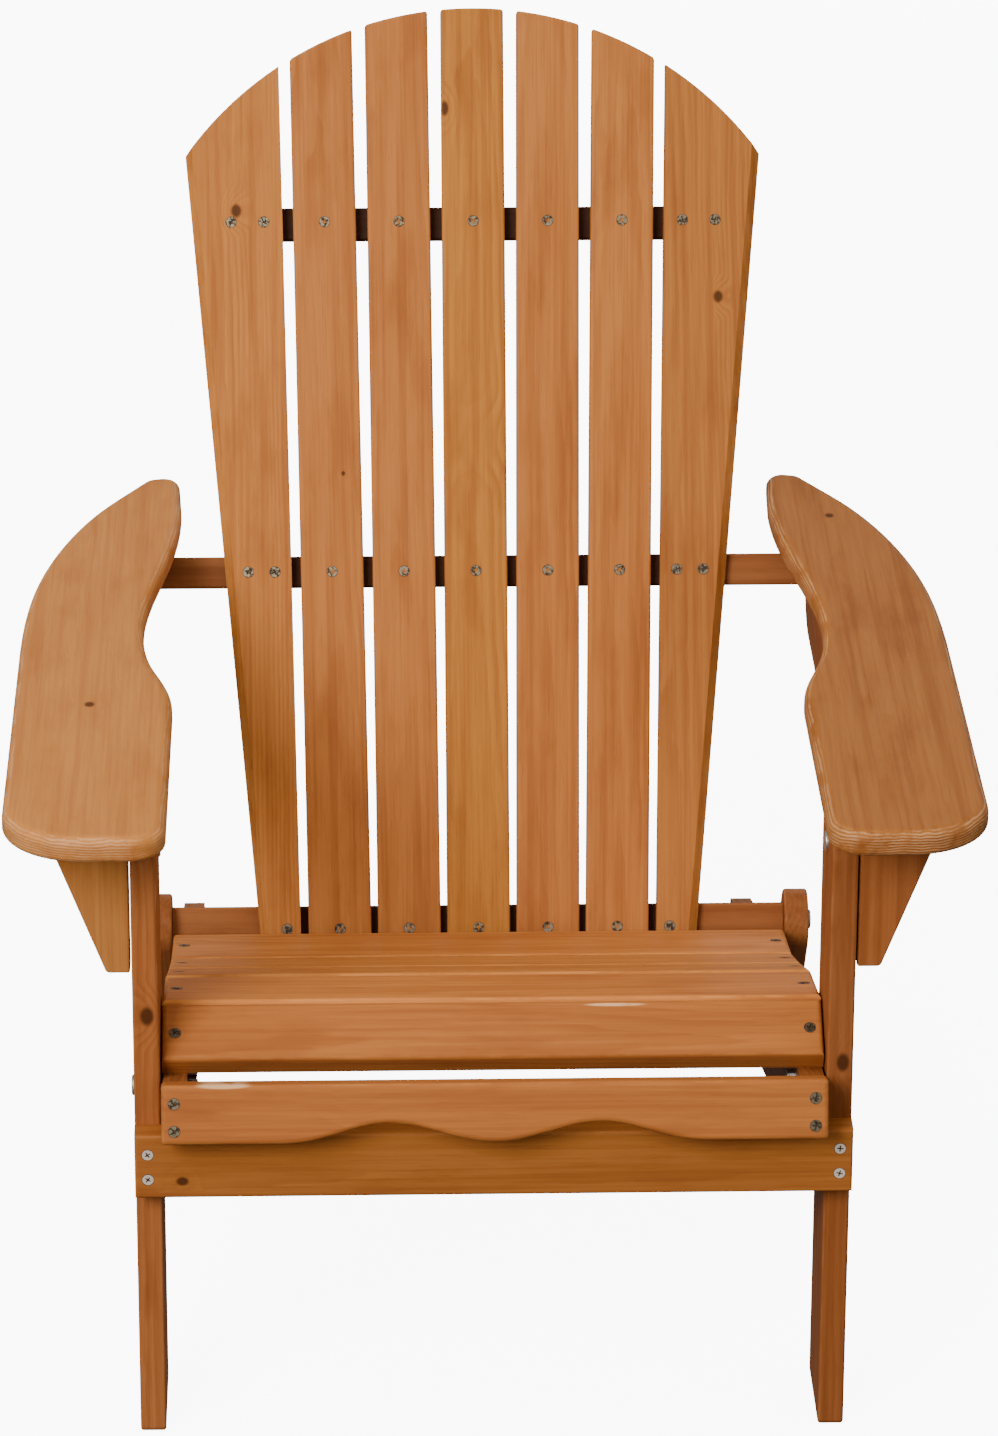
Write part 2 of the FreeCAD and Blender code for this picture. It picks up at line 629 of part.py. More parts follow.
def arm_dowels():
    """Round wooden dowels that hold the arm board on its rail and bracket."""
    across = (RAIL_INNER + RAIL_OUTER) / 2
    foot = ARM_UNDER - DOWEL_SINK
    upright = [V(across, y, foot) for y in DOWEL_PLACES]
    upright.append(V(BRACKET_DOWEL_X, ARM_RAIL_FRONT - BRACKET_THICK / 2, foot))
    dowels = [Part.makeCylinder(DOWEL_RADIUS, DOWEL_SINK + DOWEL_RISE, at, V(0, 0, 1))
              for at in upright]
    for z in END_DOWEL_HEIGHTS:
        at = V(across, ARM_RAIL_FRONT - DOWEL_RISE, z)
        dowels.append(Part.makeCylinder(DOWEL_RADIUS, DOWEL_RISE + END_DOWEL_DEPTH, at, V(0, 1, 0)))
    return dowels


def build_arms():
    dowels = arm_dowels()
    bolt_bore = rod(BACK_ARM_PIVOT, THIN_BOLT_RADIUS + BORE_GAP, RAIL_INNER - 1, RAIL_OUTER + 1)
    front_bore = rod(ARM_PIVOT, BOLT_RADIUS, RAIL_INNER - 1, RAIL_OUTER + 1)
    keep_sides("arm_board", arm_board(dowels))
    keep_sides("arm_rail", arm_rail(dowels + [bolt_bore, front_bore]))
    keep_sides("arm_bracket", arm_bracket(dowels))
    keep_sides("arm_dowels", Part.makeCompound(dowels))
    nut_start = RAIL_OUTER + WASHER_THICK
    spacer_start = LEG_OUTER + RUNNING_GAP
    stud = rod(ARM_PIVOT, BOLT_RADIUS, spacer_start, nut_start + NUT_THICK + BOLT_TAIL)
    nut = hex_nut(ARM_PIVOT, BOLT_RADIUS, nut_start, nut_start + NUT_THICK)
    washer = ring(ARM_PIVOT, WASHER_RADIUS, BOLT_RADIUS, RAIL_OUTER, nut_start)
    spacer = ring(ARM_PIVOT, WASHER_RADIUS, BOLT_RADIUS, spacer_start, RAIL_INNER)
    keep_sides("arm_pivot_stud", stud)
    keep_sides("arm_pivot_nut", Part.makeCompound([nut, washer]))
    keep_sides("arm_pivot_washer", spacer)


build_seat()
build_front_legs()
keep_sides("back_link", back_link())
build_back()
build_arms()

os.makedirs("parts", exist_ok=True)
for name, shape in nodes.items():
    shape.exportStep("parts/%s.step" % name)
    print(name, len(shape.Solids), shape.isValid(), round(shape.Volume))
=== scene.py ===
"""Looks of a folding slatted garden armchair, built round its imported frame.

The frame gives every board, bolt and rail its shape. This script stains and lacquers each
board, drives the screws, lays the five inner back slats and sets the light and the camera.
Metres throughout: +X to the right seen from in front, +Y to the back, +Z up.
"""

import json
import logging
import math
from dataclasses import dataclass, field, replace
from enum import Enum
from typing import Any, Sequence

import bpy
import numpy as np
from mathutils import Euler, Matrix, Vector

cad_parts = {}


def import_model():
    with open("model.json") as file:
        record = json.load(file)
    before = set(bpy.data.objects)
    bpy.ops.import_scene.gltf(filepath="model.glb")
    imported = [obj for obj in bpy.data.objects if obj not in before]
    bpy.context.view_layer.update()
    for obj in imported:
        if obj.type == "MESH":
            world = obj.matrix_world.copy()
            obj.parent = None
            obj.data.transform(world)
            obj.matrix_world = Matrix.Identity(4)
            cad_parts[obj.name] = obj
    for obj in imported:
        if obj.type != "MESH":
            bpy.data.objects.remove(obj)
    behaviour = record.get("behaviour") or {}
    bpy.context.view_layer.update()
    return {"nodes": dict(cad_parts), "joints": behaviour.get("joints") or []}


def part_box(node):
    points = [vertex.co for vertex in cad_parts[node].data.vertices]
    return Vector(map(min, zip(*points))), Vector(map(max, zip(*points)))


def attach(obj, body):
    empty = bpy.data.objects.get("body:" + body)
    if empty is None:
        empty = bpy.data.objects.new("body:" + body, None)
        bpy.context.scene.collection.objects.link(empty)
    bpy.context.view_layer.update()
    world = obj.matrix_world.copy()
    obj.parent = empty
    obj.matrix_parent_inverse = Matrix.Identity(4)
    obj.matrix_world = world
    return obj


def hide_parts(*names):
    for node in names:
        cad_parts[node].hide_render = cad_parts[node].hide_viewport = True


log = logging.getLogger("garden_chair")

SEED = 11
QUARTER_TURN = 1.57
MM = 0.001

Colour = tuple[float, float, float]
Triple = tuple[float, float, float]


# --------------------------------------------------------------------- node writing
class Wire:
    """One socket of a node tree, with the arithmetic that numbers have."""

    def __init__(self, bench: "Bench", socket: bpy.types.NodeSocket) -> None:
        """Wrap a socket.

        Args:
            bench: The tree writer that the socket belongs to.
            socket: The output socket.
        """
        self.bench = bench
        self.socket = socket

    def _math(self, operation: str, *values: Any) -> "Wire":
        """Add one Math node and return its result."""
        return self.bench.add("ShaderNodeMath", {"operation": operation}, *values)

    def __add__(self, other: Any) -> "Wire":
        """Sum."""
        return self._math("ADD", self, other)

    __radd__ = __add__

    def __mul__(self, other: Any) -> "Wire":
        """Product."""
        return self._math("MULTIPLY", self, other)

    __rmul__ = __mul__

    def __sub__(self, other: Any) -> "Wire":
        """Difference."""
        return self._math("SUBTRACT", self, other)

    def __rsub__(self, other: Any) -> "Wire":
        """Difference from a number."""
        return self._math("SUBTRACT", other, self)

    def __truediv__(self, other: Any) -> "Wire":
        """Quotient."""
        return self._math("DIVIDE", self, other)

    def __pow__(self, other: Any) -> "Wire":
        """Power."""
        return self._math("POWER", self, other)

    def __abs__(self) -> "Wire":
        """Size without sign."""
        return self._math("ABSOLUTE", self)

    def root(self) -> "Wire":
        """Square root."""
        return self._math("SQRT", self)

    def fraction(self) -> "Wire":
        """Part after the decimal point."""
        return self._math("FRACT", self)

    def at_least(self, other: Any) -> "Wire":
        """The larger of the two."""
        return self._math("MAXIMUM", self, other)

    def ease(self, low: float, high: float) -> "Wire":
        """Rise smoothly from 0 to 1 between two values.

        Args:
            low: Where the rise starts.
            high: Where it ends; below low, the rise is a fall.

        Returns:
            The eased value.
        """
        if high < low:
            return 1 - self.ease(high, low)
        settings = {"interpolation_type": "SMOOTHSTEP"}
        return self.bench.add("ShaderNodeMapRange", settings, self, low, high)

    def parts(self) -> tuple["Wire", "Wire", "Wire"]:
        """The three components of a vector."""
        node = self.bench.add("ShaderNodeSeparateXYZ", {}, self).socket.node
        return tuple(Wire(self.bench, socket) for socket in node.outputs)


class Bench:
    """Writes the nodes of one tree."""

    def __init__(self, tree: bpy.types.NodeTree) -> None:
        """Take over a tree.

        Args:
            tree: A shader or geometry node tree.
        """
        self.tree = tree

    def add(self, kind: str, settings: dict[str, Any], *values: Any,
            out: int | str = 0, **named: Any) -> Wire:
        """Add a node, set it up, then feed its sockets.

        Args:
            kind: The node's type.
            settings: Its properties, set before its sockets are fed.
            *values: Numbers, vectors or wires for its first sockets, None to skip one.
            out: The output to return, by place or name.
            **named: Values for sockets by name, with _ for a space.

        Returns:
            The chosen output.
        """
        node = self.tree.nodes.new(kind)
        for name, value in settings.items():
            setattr(node, name, value)
        for place, value in enumerate(values):
            self.feed(node.inputs[place], value)
        for name, value in named.items():
            self.feed(node.inputs[name.replace("_", " ")], value)
        return Wire(self, node.outputs[out])

    def feed(self, socket: bpy.types.NodeSocket, value: Any) -> None:
        """Link a wire to a socket, or set the socket's own value.

        Args:
            socket: The input socket.
            value: A wire, a plain value, or None to leave it alone.
        """
        if isinstance(value, Wire):
            self.tree.links.new(value.socket, socket)
        elif value is not None:
            socket.default_value = value

    def vector(self, operation: str, *values: Any, out: int | str = 0) -> Wire:
        """Vector arithmetic by one Vector Math node."""
        return self.add("ShaderNodeVectorMath", {"operation": operation}, *values, out=out)

    def xyz(self, x: Any, y: Any, z: Any) -> Wire:
        """A vector from three values."""
        return self.add("ShaderNodeCombineXYZ", {}, x, y, z)

    def noise(self, at: Wire, stretch: Triple, detail: float = 2.0) -> Wire:
        """Smooth noise, stretched along the axes.

        Args:
            at: Where it is read.
            stretch: Waves per metre along each axis.
            detail: Octaves of finer noise.

        Returns:
            A value about 0.5, from 0 to 1.
        """
        scaled = self.vector("MULTIPLY", at, stretch)
        return self.add("ShaderNodeTexNoise", {}, Vector=scaled, Scale=1.0, Detail=detail,
                        Roughness=0.55)

    def mix(self, share: Any, first: Any, second: Any) -> Wire:
        """Mix two colours.

        Args:
            share: How much of the second, from 0 to 1.
            first: The colour at 0.
            second: The colour at 1.

        Returns:
            The mixed colour.
        """
        node = self.tree.nodes.new("ShaderNodeMix")
        node.data_type = "RGBA"
        inputs = {socket.identifier: socket for socket in node.inputs}
        self.feed(inputs["Factor_Float"], share)
        for name, value in (("A_Color", first), ("B_Color", second)):
            self.feed(inputs[name], value if isinstance(value, Wire) else (*value, 1.0))
        result = next(socket for socket in node.outputs if socket.identifier == "Result_Color")
        return Wire(self, result)


# --------------------------------------------------------------------- finishes
class MarkKind(Enum):
    """What a local mark on a board is."""

    KNOT = "knot"
    SWIRL = "swirl"
    SCUFF = "scuff"


@dataclass(frozen=True)
class Mark:
    """A knot, a swirl with no knot in it, or a pale scuff on a board's face.

    Attributes:
        along: Distance from the board's middle along the grain.
        across: Distance from its middle across the grain.
        size: Radius of the mark.
        kind: What it is.
        deep: How far through the board it lies, or None where it runs right through.
        slim: How much longer than wide it is along the grain.
    """

    along: float
    across: float
    size: float
    kind: MarkKind = MarkKind.KNOT
    deep: float | None = None
    slim: float = 1.3


@dataclass(frozen=True)
class Stain:
    """The tones that one stained board has.

    Attributes:
        body: The colour of most of the face.
        deep: Late wood, pores and end grain.
        pale: Early wood and rubbed edges.
    """

    body: Colour
    deep: Colour
    pale: Colour

    def turned_gold(self) -> Colour:
        """The body a little yellower, as some boards of a batch come out."""
        red, green, blue = self.body
        return (red * 0.98, green * 1.12, blue * 0.95)

    def shaded(self, by: float) -> "Stain":
        """The same stain, lighter or darker by a factor: a board of another tone, and on some boards
        painted light or shade.
        """
        body, deep, pale = (tuple(by * part for part in tone)
                            for tone in (self.body, self.deep, self.pale))
        return Stain(body, deep, pale)


HONEY = Stain((0.430, 0.144, 0.030), (0.225, 0.054, 0.009), (0.500, 0.185, 0.042))
AMBER = Stain((0.390, 0.120, 0.025), (0.215, 0.053, 0.012), (0.465, 0.165, 0.036))
TAN = Stain((0.430, 0.152, 0.034), (0.290, 0.084, 0.017), (0.520, 0.215, 0.066))
RUSSET = Stain((0.265, 0.080, 0.020), (0.140, 0.034, 0.007), (0.370, 0.140, 0.045))
GOLDEN = (0.455, 0.172, 0.020)
BARE = (0.66, 0.36, 0.17)
KNOT_HEART = (0.045, 0.013, 0.004)
# Painted shade laid on the rails where they lie behind the slats.
PAINTED_SLAT_SHADE = (0.018, 0.005, 0.002)
# Painted shade for the hollows round and inside a screw's head.
PAINTED_RECESS_SHADE = ((0.035, 0.014, 0.006), (0.10, 0.042, 0.016))

# Waves per metre of each kind of figure, along, across and through the board.
FIBRE = (9.0, 420.0, 420.0)
PORES = (38.0, 950.0, 950.0)
STREAKS = (3.2, 150.0, 150.0)
CLOUDS = (2.6, 13.0, 13.0)
BLOTCHES = (10.0, 34.0, 34.0)
VEIL = (3.5, 21.0, 21.0)
BATCHES = (0.31, 0.31, 0.31)
RUBBED = (34.0, 60.0, 60.0)
SWAY = (1.7, 7.0, 7.0)
QUIVER = (11.0, 60.0, 60.0)

# Lacquer, the same on every board.
COAT = 0.05
COAT_ROUGHNESS = 0.28
SHEEN = 0.08
RELIEF = 0.22
RELIEF_DEPTH = 0.5 * MM
LAYER = 2.1 * MM
SOFT_EDGE = 2 * MM
ARM_ETCHING = 0.42


@dataclass(frozen=True)
class Grain:
    """How the growth rings of one board lie.

    Attributes:
        ring: Distance from ring to ring.
        pith_across: How far beside the board's middle the tree's heart was.
        pith_under: How far under the face it was.
        taper: Drift of the rings along the board, which makes pointed arches.
        strength: How strongly the rings show.
    """

    ring: float = 4.2 * MM
    pith_across: float = 4 * MM
    pith_under: float = 34 * MM
    taper: float = 0.012
    strength: float = 0.32


@dataclass(frozen=True)
class BoardFinish:
    """Stain, grain, marks and lacquer of one board.

    Attributes:
        stain: Its tones.
        grain: Its growth rings.
        marks: Its knots and scuffs.
        rub: How worn the rounded edges are.
        shift: Where in the endless wood the board was sawn, so that no two are alike.
        slat_shade_reach: Half length of a middle stretch of the face that lies behind the slats and
            is darkened with painted shade.
        etched: How pale the early wood shows on the rounded edges.
        golden: Half width of a middle strip of yellower wood.
    """

    stain: Stain = HONEY
    grain: Grain = Grain()
    marks: tuple[Mark, ...] = ()
    rub: float = 0.6
    shift: float = 0.0
    slat_shade_reach: float = 0.0
    etched: float = 0.0
    golden: float = 0.0

    def material(self, name: str, axes: Matrix, centre: Vector,
                 laid: bool = False) -> bpy.types.Material:
        """Make the board's material.

        Args:
            name: The material's name.
            axes: Rows are the directions along, across and through the board.
            centre: The board's middle.
            laid: Whether the mesh carries its own places, in the attributes "laid" and
                "sawn"; otherwise Object coordinates are turned into them.

        Returns:
            The material.
        """
        made = bpy.data.materials.new(name)
        made.use_nodes = True
        bench = Bench(made.node_tree)
        shader = made.node_tree.nodes["Principled BSDF"]
        if laid:
            place, moved = (bench.add("ShaderNodeAttribute", {"attribute_name": name},
                                      out="Vector") for name in ("laid", "sawn"))
        else:
            place = self._board_place(bench, axes, centre)
            moved = bench.vector("ADD", place, (self.shift, 0.0, 0.0))
        along, across, through = place.parts()
        facing = bench.add("ShaderNodeTexCoord", {}, out="Normal")
        flat = abs(bench.vector("DOT_PRODUCT", facing, axes[2], out="Value"))
        ended = abs(bench.vector("DOT_PRODUCT", facing, axes[0], out="Value"))
        knots, hearts, scuffs = self._marks(along, across, through)
        rings = self._rings(bench, moved, knots)
        fibre = bench.noise(moved, FIBRE, 3.0)
        pores = bench.noise(moved, PORES, 1.0).ease(0.60, 0.74)
        cloud = bench.noise(moved, CLOUDS, 3.0)
        blotch = bench.noise(moved, BLOTCHES, 4.0)
        patchy = bench.noise(moved, RUBBED, 3.0)
        side = (1 - flat * flat).at_least(0.0).root()
        round_edge = (1 - flat.at_least(side)).ease(0.03, 0.24)
        worn = round_edge * patchy.ease(0.38, 0.66) * self.rub

        tone = self._stained(bench, moved, across, cloud)
        tone = self._figured(bench, tone, moved, rings, blotch, fibre)
        for share in (pores * 0.20, ended.ease(0.75, 0.95) * 0.40):
            tone = bench.mix(share, tone, self.stain.deep)
        tone = bench.mix(hearts * 0.88, tone, KNOT_HEART)
        tone = bench.mix(worn * 0.8, tone, self.stain.pale)
        if self.etched:
            layer = ((through + (cloud + blotch) * (7 * MM)) / LAYER).fraction()
            lines = layer.ease(0.20, 0.50) * layer.ease(0.98, 0.72) * flat.ease(0.96, 0.80)
            tone = bench.mix(lines * patchy.ease(0.30, 0.60) * self.etched, tone, BARE)
        # Painted shade: the front of a rail is darkened along the stretch that lies behind the
        # slats.
        if self.slat_shade_reach:
            thick = self._within(along, self.slat_shade_reach) * through.ease(4 * MM, 7 * MM)
            tone = bench.mix(thick * 0.86, tone, PAINTED_SLAT_SHADE)
        tone = bench.mix(scuffs * patchy.ease(0.30, 0.50), tone, BARE)
        bench.feed(shader.inputs["Base Color"], tone)
        bench.feed(shader.inputs["Roughness"], 0.44 + fibre * 0.14 + rings * 0.06 + worn * 0.16)
        relief = fibre * 0.55 - rings * 0.35 - pores * 0.5 - hearts * 0.4
        bump = bench.add("ShaderNodeBump", {}, Strength=RELIEF, Distance=RELIEF_DEPTH,
                         Height=relief)
        bench.feed(shader.inputs["Normal"], bump)
        shader.inputs["Coat Weight"].default_value = COAT
        shader.inputs["Coat Roughness"].default_value = COAT_ROUGHNESS
        shader.inputs["Specular IOR Level"].default_value = SHEEN
        return made

    def _stained(self, bench: Bench, moved: Wire, across: Wire, cloud: Wire) -> Wire:
        """The stain on bare wood: cloudy, and a little yellower on some boards."""
        tone = bench.mix(cloud.ease(0.30, 0.72) * 0.42, self.stain.body, self.stain.pale)
        batch = bench.noise(moved, BATCHES, 0.0).ease(0.40, 0.62)
        tone = bench.mix(batch * 0.40, tone, self.stain.turned_gold())
        if self.golden:
            tone = bench.mix(self._within(across, self.golden) * 0.6, tone, GOLDEN)
        return tone

    def _figured(self, bench: Bench, tone: Wire, moved: Wire, rings: Wire, blotch: Wire,
                 fibre: Wire) -> Wire:
        """The tone with blotches, growth rings that come and go, streaks and fibres."""
        veil = bench.noise(moved, VEIL, 2.0).ease(0.40, 0.60) * 0.75 + 0.25
        streak = bench.noise(moved, STREAKS, 3.0)
        for share in (blotch.ease(0.48, 0.72) * 0.38,
                      rings * veil * self.grain.strength,
                      streak.ease(0.56, 0.34) * 0.36,
                      fibre.ease(0.62, 0.30) * 0.20):
            tone = bench.mix(share, tone, self.stain.deep)
        return tone

    @staticmethod
    def _within(place: Wire, reach: float) -> Wire:
        """A soft-edged mask of a stretch about the middle."""
        return abs(place).ease(reach + SOFT_EDGE, reach - SOFT_EDGE)

    def _board_place(self, bench: Bench, axes: Matrix, centre: Vector) -> Wire:
        """The place in the board: along, across and through it from its middle."""
        turn = axes.to_euler("XYZ")
        here = bench.add("ShaderNodeTexCoord", {}, out="Object")
        return bench.add("ShaderNodeMapping", {"vector_type": "POINT"}, Vector=here,
                         Location=-(axes @ centre), Rotation=turn)

    def _marks(self, along: Wire, across: Wire, through: Wire) -> tuple[Any, Any, Any]:
        """Masks of the marks: grain bent round the knots, the knots' hearts, the scuffs."""
        knots: Any = 0.0
        hearts: Any = 0.0
        scuffs: Any = 0.0
        for mark in self.marks:
            far = (((along - mark.along) / (mark.size * mark.slim)) ** 2.0
                   + ((across - mark.across) / mark.size) ** 2.0)
            if mark.deep is not None:
                far = ((through - mark.deep) / mark.size) ** 2.0 + far
            far = far.root()
            if mark.kind is MarkKind.KNOT:
                hearts = far.ease(1.15, 0.55) + hearts
            if mark.kind is MarkKind.SCUFF:
                scuffs = far.ease(1.2, 0.7) + scuffs
            else:
                bend = 0.5 if mark.kind is MarkKind.SWIRL else 1.6
                knots = far.ease(3.6, 0.6) * (bend * mark.size) + knots
        return knots, hearts, scuffs

    def _rings(self, bench: Bench, moved: Wire, knots: Any) -> Wire:
        """Late-wood lines where the board cuts the growth rings."""
        grain = self.grain
        along, across, through = moved.parts()
        sway = bench.noise(moved, SWAY, 2.0) - 0.5
        quiver = bench.noise(moved, QUIVER, 2.0) - 0.5
        beside = across - grain.pith_across + sway * (26 * MM)
        under = through + grain.pith_under
        reach = (beside ** 2.0 + under ** 2.0).root()
        reach = reach + along * grain.taper + sway * (9 * MM) + quiver * (4.5 * MM) + knots
        turn = (reach / grain.ring).fraction()
        return turn.ease(0.25, 0.86) * turn.ease(1.0, 0.93)


@dataclass(frozen=True)
class MetalFinish:
    """A plated steel fastener.

    Attributes:
        name: The material's name.
        tone: The plating's colour.
        tarnish: The colour of its dull patches.
        dull: How much of it is dull, from 0 to 1.
        roughness: Roughness where it is bright.
        shine: How metallic it looks, from 0 to 1.
    """

    name: str
    tone: Colour
    tarnish: Colour
    dull: float
    roughness: float
    shine: float = 1.0

    def material(self) -> bpy.types.Material:
        """Make the metal's material.

        Returns:
            The material.
        """
        made = bpy.data.materials.new(self.name)
        made.use_nodes = True
        bench = Bench(made.node_tree)
        shader = made.node_tree.nodes["Principled BSDF"]
        place = bench.add("ShaderNodeTexCoord", {}, out="Object")
        blotch = bench.noise(place, (380.0, 380.0, 380.0), 3.0)
        grit = bench.noise(place, (2600.0, 2600.0, 2600.0), 2.0)
        patch = blotch.ease(0.66 - 0.3 * self.dull, 0.80 - 0.3 * self.dull)
        bench.feed(shader.inputs["Base Color"], bench.mix(patch, self.tone, self.tarnish))
        bench.feed(shader.inputs["Roughness"], self.roughness + patch * 0.25 + grit * 0.08)
        bump = bench.add("ShaderNodeBump", {}, Strength=0.12, Distance=0.0002, Height=grit)
        bench.feed(shader.inputs["Normal"], bump)
        shader.inputs["Metallic"].default_value = self.shine
        return made


BRIGHT_ZINC = MetalFinish("bright_zinc", (0.86, 0.72, 0.58), (0.55, 0.43, 0.32), 0.2, 0.30,
                          shine=0.45)
YELLOW_ZINC = MetalFinish("yellow_zinc", (0.24, 0.19, 0.12), (0.07, 0.05, 0.03), 0.7, 0.38)
DULL_ZINC = MetalFinish("dull_zinc", (0.56, 0.54, 0.50), (0.30, 0.28, 0.25), 0.5, 0.40)


def recess_shade_material() -> bpy.types.Material:
    """Painted shade for the sunk rim round a screw's head and for its cross recess.

    Returns:
        The material.
    """
    made = bpy.data.materials.new("painted_recess_shade")
    made.use_nodes = True
    bench = Bench(made.node_tree)
    shader = made.node_tree.nodes["Principled BSDF"]
    place = bench.add("ShaderNodeTexCoord", {}, out="Object")
    speck = bench.noise(place, (900.0, 900.0, 900.0), 2.0)
    bench.feed(shader.inputs["Base Color"],
               bench.mix(speck.ease(0.35, 0.65), *PAINTED_RECESS_SHADE))
    bench.feed(shader.inputs["Roughness"], 0.55 + speck * 0.2)
    return made


# --------------------------------------------------------------------- geometry nodes
class Pattern:
    """A geometry node tree with named inputs, run once to a plain mesh."""

    def __init__(self, name: str) -> None:
        """Start an empty tree.

        Args:
            name: The tree's name.
        """
        self.tree = bpy.data.node_groups.new(name, "GeometryNodeTree")
        self.bench = Bench(self.tree)
        self.values: dict[str, Any] = {}
        for way in ("INPUT", "OUTPUT"):
            self.tree.interface.new_socket("Geometry", in_out=way,
                                           socket_type="NodeSocketGeometry")
        self.source = self.tree.nodes.new("NodeGroupInput")
        self.sink = self.tree.nodes.new("NodeGroupOutput")

    def size(self, name: str, value: float | int) -> Wire:
        """Add a named input.

        Args:
            name: The input's name.
            value: The value it is given; whole numbers make a whole-number input.

        Returns:
            The input as a wire.
        """
        kind = "NodeSocketInt" if isinstance(value, int) else "NodeSocketFloat"
        item = self.tree.interface.new_socket(name, in_out="INPUT", socket_type=kind)
        self.values[item.identifier] = value
        return Wire(self.bench, self.source.outputs[name])

    def geometry(self) -> Wire:
        """The mesh that the tree starts from."""
        return Wire(self.bench, self.source.outputs["Geometry"])

    def finish(self, shape: Wire) -> None:
        """End the tree in plain geometry."""
        real = self.bench.add("GeometryNodeRealizeInstances", {}, shape)
        self.bench.feed(self.sink.inputs["Geometry"], real)

    def run(self, name: str, start: bpy.types.Mesh,
            bevel: float | None = None) -> bpy.types.Object:
        """Run the tree on a mesh and keep the result as an ordinary object.

        Args:
            name: The new object's name.
            start: The mesh that the tree starts from.
            bevel: Width of a bevel given to the sharp edges, or None.

        Returns:
            An object at the origin with no modifiers.
        """
        rough = bpy.data.objects.new(name + "_rough", start)
        bpy.context.scene.collection.objects.link(rough)
        modifier = rough.modifiers.new("pattern", "NODES")
        modifier.node_group = self.tree
        for identifier, value in self.values.items():
            modifier[identifier] = value
        if bevel:
            ease = rough.modifiers.new("ease", "BEVEL")
            ease.width = bevel
            ease.segments = 3
            ease.limit_method = "ANGLE"
            ease.angle_limit = math.radians(40)
            ease.harden_normals = True
        depsgraph = bpy.context.evaluated_depsgraph_get()
        mesh = bpy.data.meshes.new_from_object(rough.evaluated_get(depsgraph),
                                               preserve_all_data_layers=True,
                                               depsgraph=depsgraph)
        bpy.data.objects.remove(rough)
        mesh.name = name
        piece = bpy.data.objects.new(name, mesh)
        bpy.context.scene.collection.objects.link(piece)
        return piece


# --------------------------------------------------------------------- shared helpers
def islands(node: bpy.types.Object) -> list[np.ndarray]:
    """Split a frame node's mesh into its separate solids.

    Args:
        node: A CAD node, whose triangles share no vertices.

    Returns:
        The distinct points of each solid.
    """
    points = np.array([vertex.co for vertex in node.data.vertices]).reshape(-1, 3)
    keys, index = np.unique(np.round(points, 5), axis=0, return_inverse=True)
    index = index.ravel()
    owner = np.arange(len(keys))

    def root(item: int) -> int:
        while owner[item] != item:
            owner[item] = owner[owner[item]]
            item = owner[item]
        return item

    for face in node.data.polygons:
        first, *others = (root(index[vertex]) for vertex in face.vertices)
        for other in others:
            owner[root(other)] = root(first)
    roots = np.array([root(item) for item in range(len(keys))])
    return [keys[roots == item] for item in np.unique(roots)]


@dataclass(frozen=True)
class Seat:
    """Where one screw sits.

    Attributes:
        head: Middle of the head's outer face.
        out: Unit direction from the wood outwards.
    """

    head: Vector
    out: Vector

    @classmethod
    def of(cls, points: np.ndarray) -> "Seat":
        """Find a countersunk screw's head and axis from its solid's points.

        Args:
            points: The solid's points.

        Returns:
            Its seat.
        """
        middle = points.mean(0)
        _, _, rows = np.linalg.svd(points - middle, full_matrices=False)
        axis = rows[0]
        run = (points - middle) @ axis
        wide = np.linalg.norm((points - middle) - np.outer(run, axis), axis=1)
        if run[wide.argmax()] < 0:
            axis, run = -axis, -run
        head = cls._disc_middle(points[run > run.max() - 0.4 * MM], rows)
        tip = cls._disc_middle(points[run < run.min() + 0.4 * MM], rows)
        return cls(head, (head - tip).normalized())

    @staticmethod
    def _disc_middle(points: np.ndarray, rows: np.ndarray) -> Vector:
        """Middle of a round end, from how far its points reach each way."""
        reach = points @ rows.T
        return Vector(((reach.min(0) + reach.max(0)) / 2) @ rows)


def board_axes(along: Vector, through: Vector) -> Matrix:
    """Axes of a board.

    Args:
        along: Direction of its grain.
        through: Direction through its thickness, out of its best face.

    Returns:
        A matrix whose rows are along, across and through.
    """
    first, last = along.normalized(), through.normalized()
    return Matrix((first, last.cross(first), last))


def middle_of(node: str) -> Vector:
    """Middle of a CAD node's box."""
    low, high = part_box(node)
    return (low + high) / 2


BLANK_CUTS = (9, 24, 2)
CROWN_STEPS = 4
ACROSS_CHAIR = Vector((1, 0, 0))
FORWARD = Vector((0, -1, 0))
UP = Vector((0, 0, 1))


def in_side_view(degrees: float) -> Vector:
    """A direction in the chair's side view, turned up from straight back."""
    lean = math.radians(degrees)
    return Vector((0, math.cos(lean), math.sin(lean)))


@dataclass
class Workshop:
    """What every sub-assembly needs: the frame, and the materials made once.

    Attributes:
        nodes: The CAD nodes by name.
        pivots: The place of each joint by name.
        metals: Fastener materials by finish.
        recess_shade: Painted shade for the rim round a screw and for its cross recess.
    """

    nodes: dict[str, bpy.types.Object]
    pivots: dict[str, Vector]
    metals: dict[MetalFinish, bpy.types.Material] = field(default_factory=dict)
    recess_shade: bpy.types.Material | None = None

    def dress(self, node: str, finish: BoardFinish, along: Vector, through: Vector) -> None:
        """Stain one CAD board.

        Args:
            node: The board's node.
            finish: Its finish.
            along: Direction of its grain.
            through: Direction out of its best face.
        """
        axes = board_axes(along, through)
        self.paint(node, finish.material("wood_" + node, axes, middle_of(node)))
        log.info("board %s: stained", node)

    def paint(self, node: str, material: bpy.types.Material) -> None:
        """Give a CAD node one material."""
        data = self.nodes[node].data
        data.materials.clear()
        data.materials.append(material)

    def metal(self, finish: MetalFinish) -> bpy.types.Material:
        """A fastener's material, made the first time that it is asked for."""
        if finish not in self.metals:
            self.metals[finish] = finish.material()
        return self.metals[finish]

    def plate(self, finish: MetalFinish, *nodes: str) -> None:
        """Plate CAD bolts, nuts and washers."""
        for node in nodes:
            self.paint(node, self.metal(finish))
            log.info("fastener %s: plated", node)


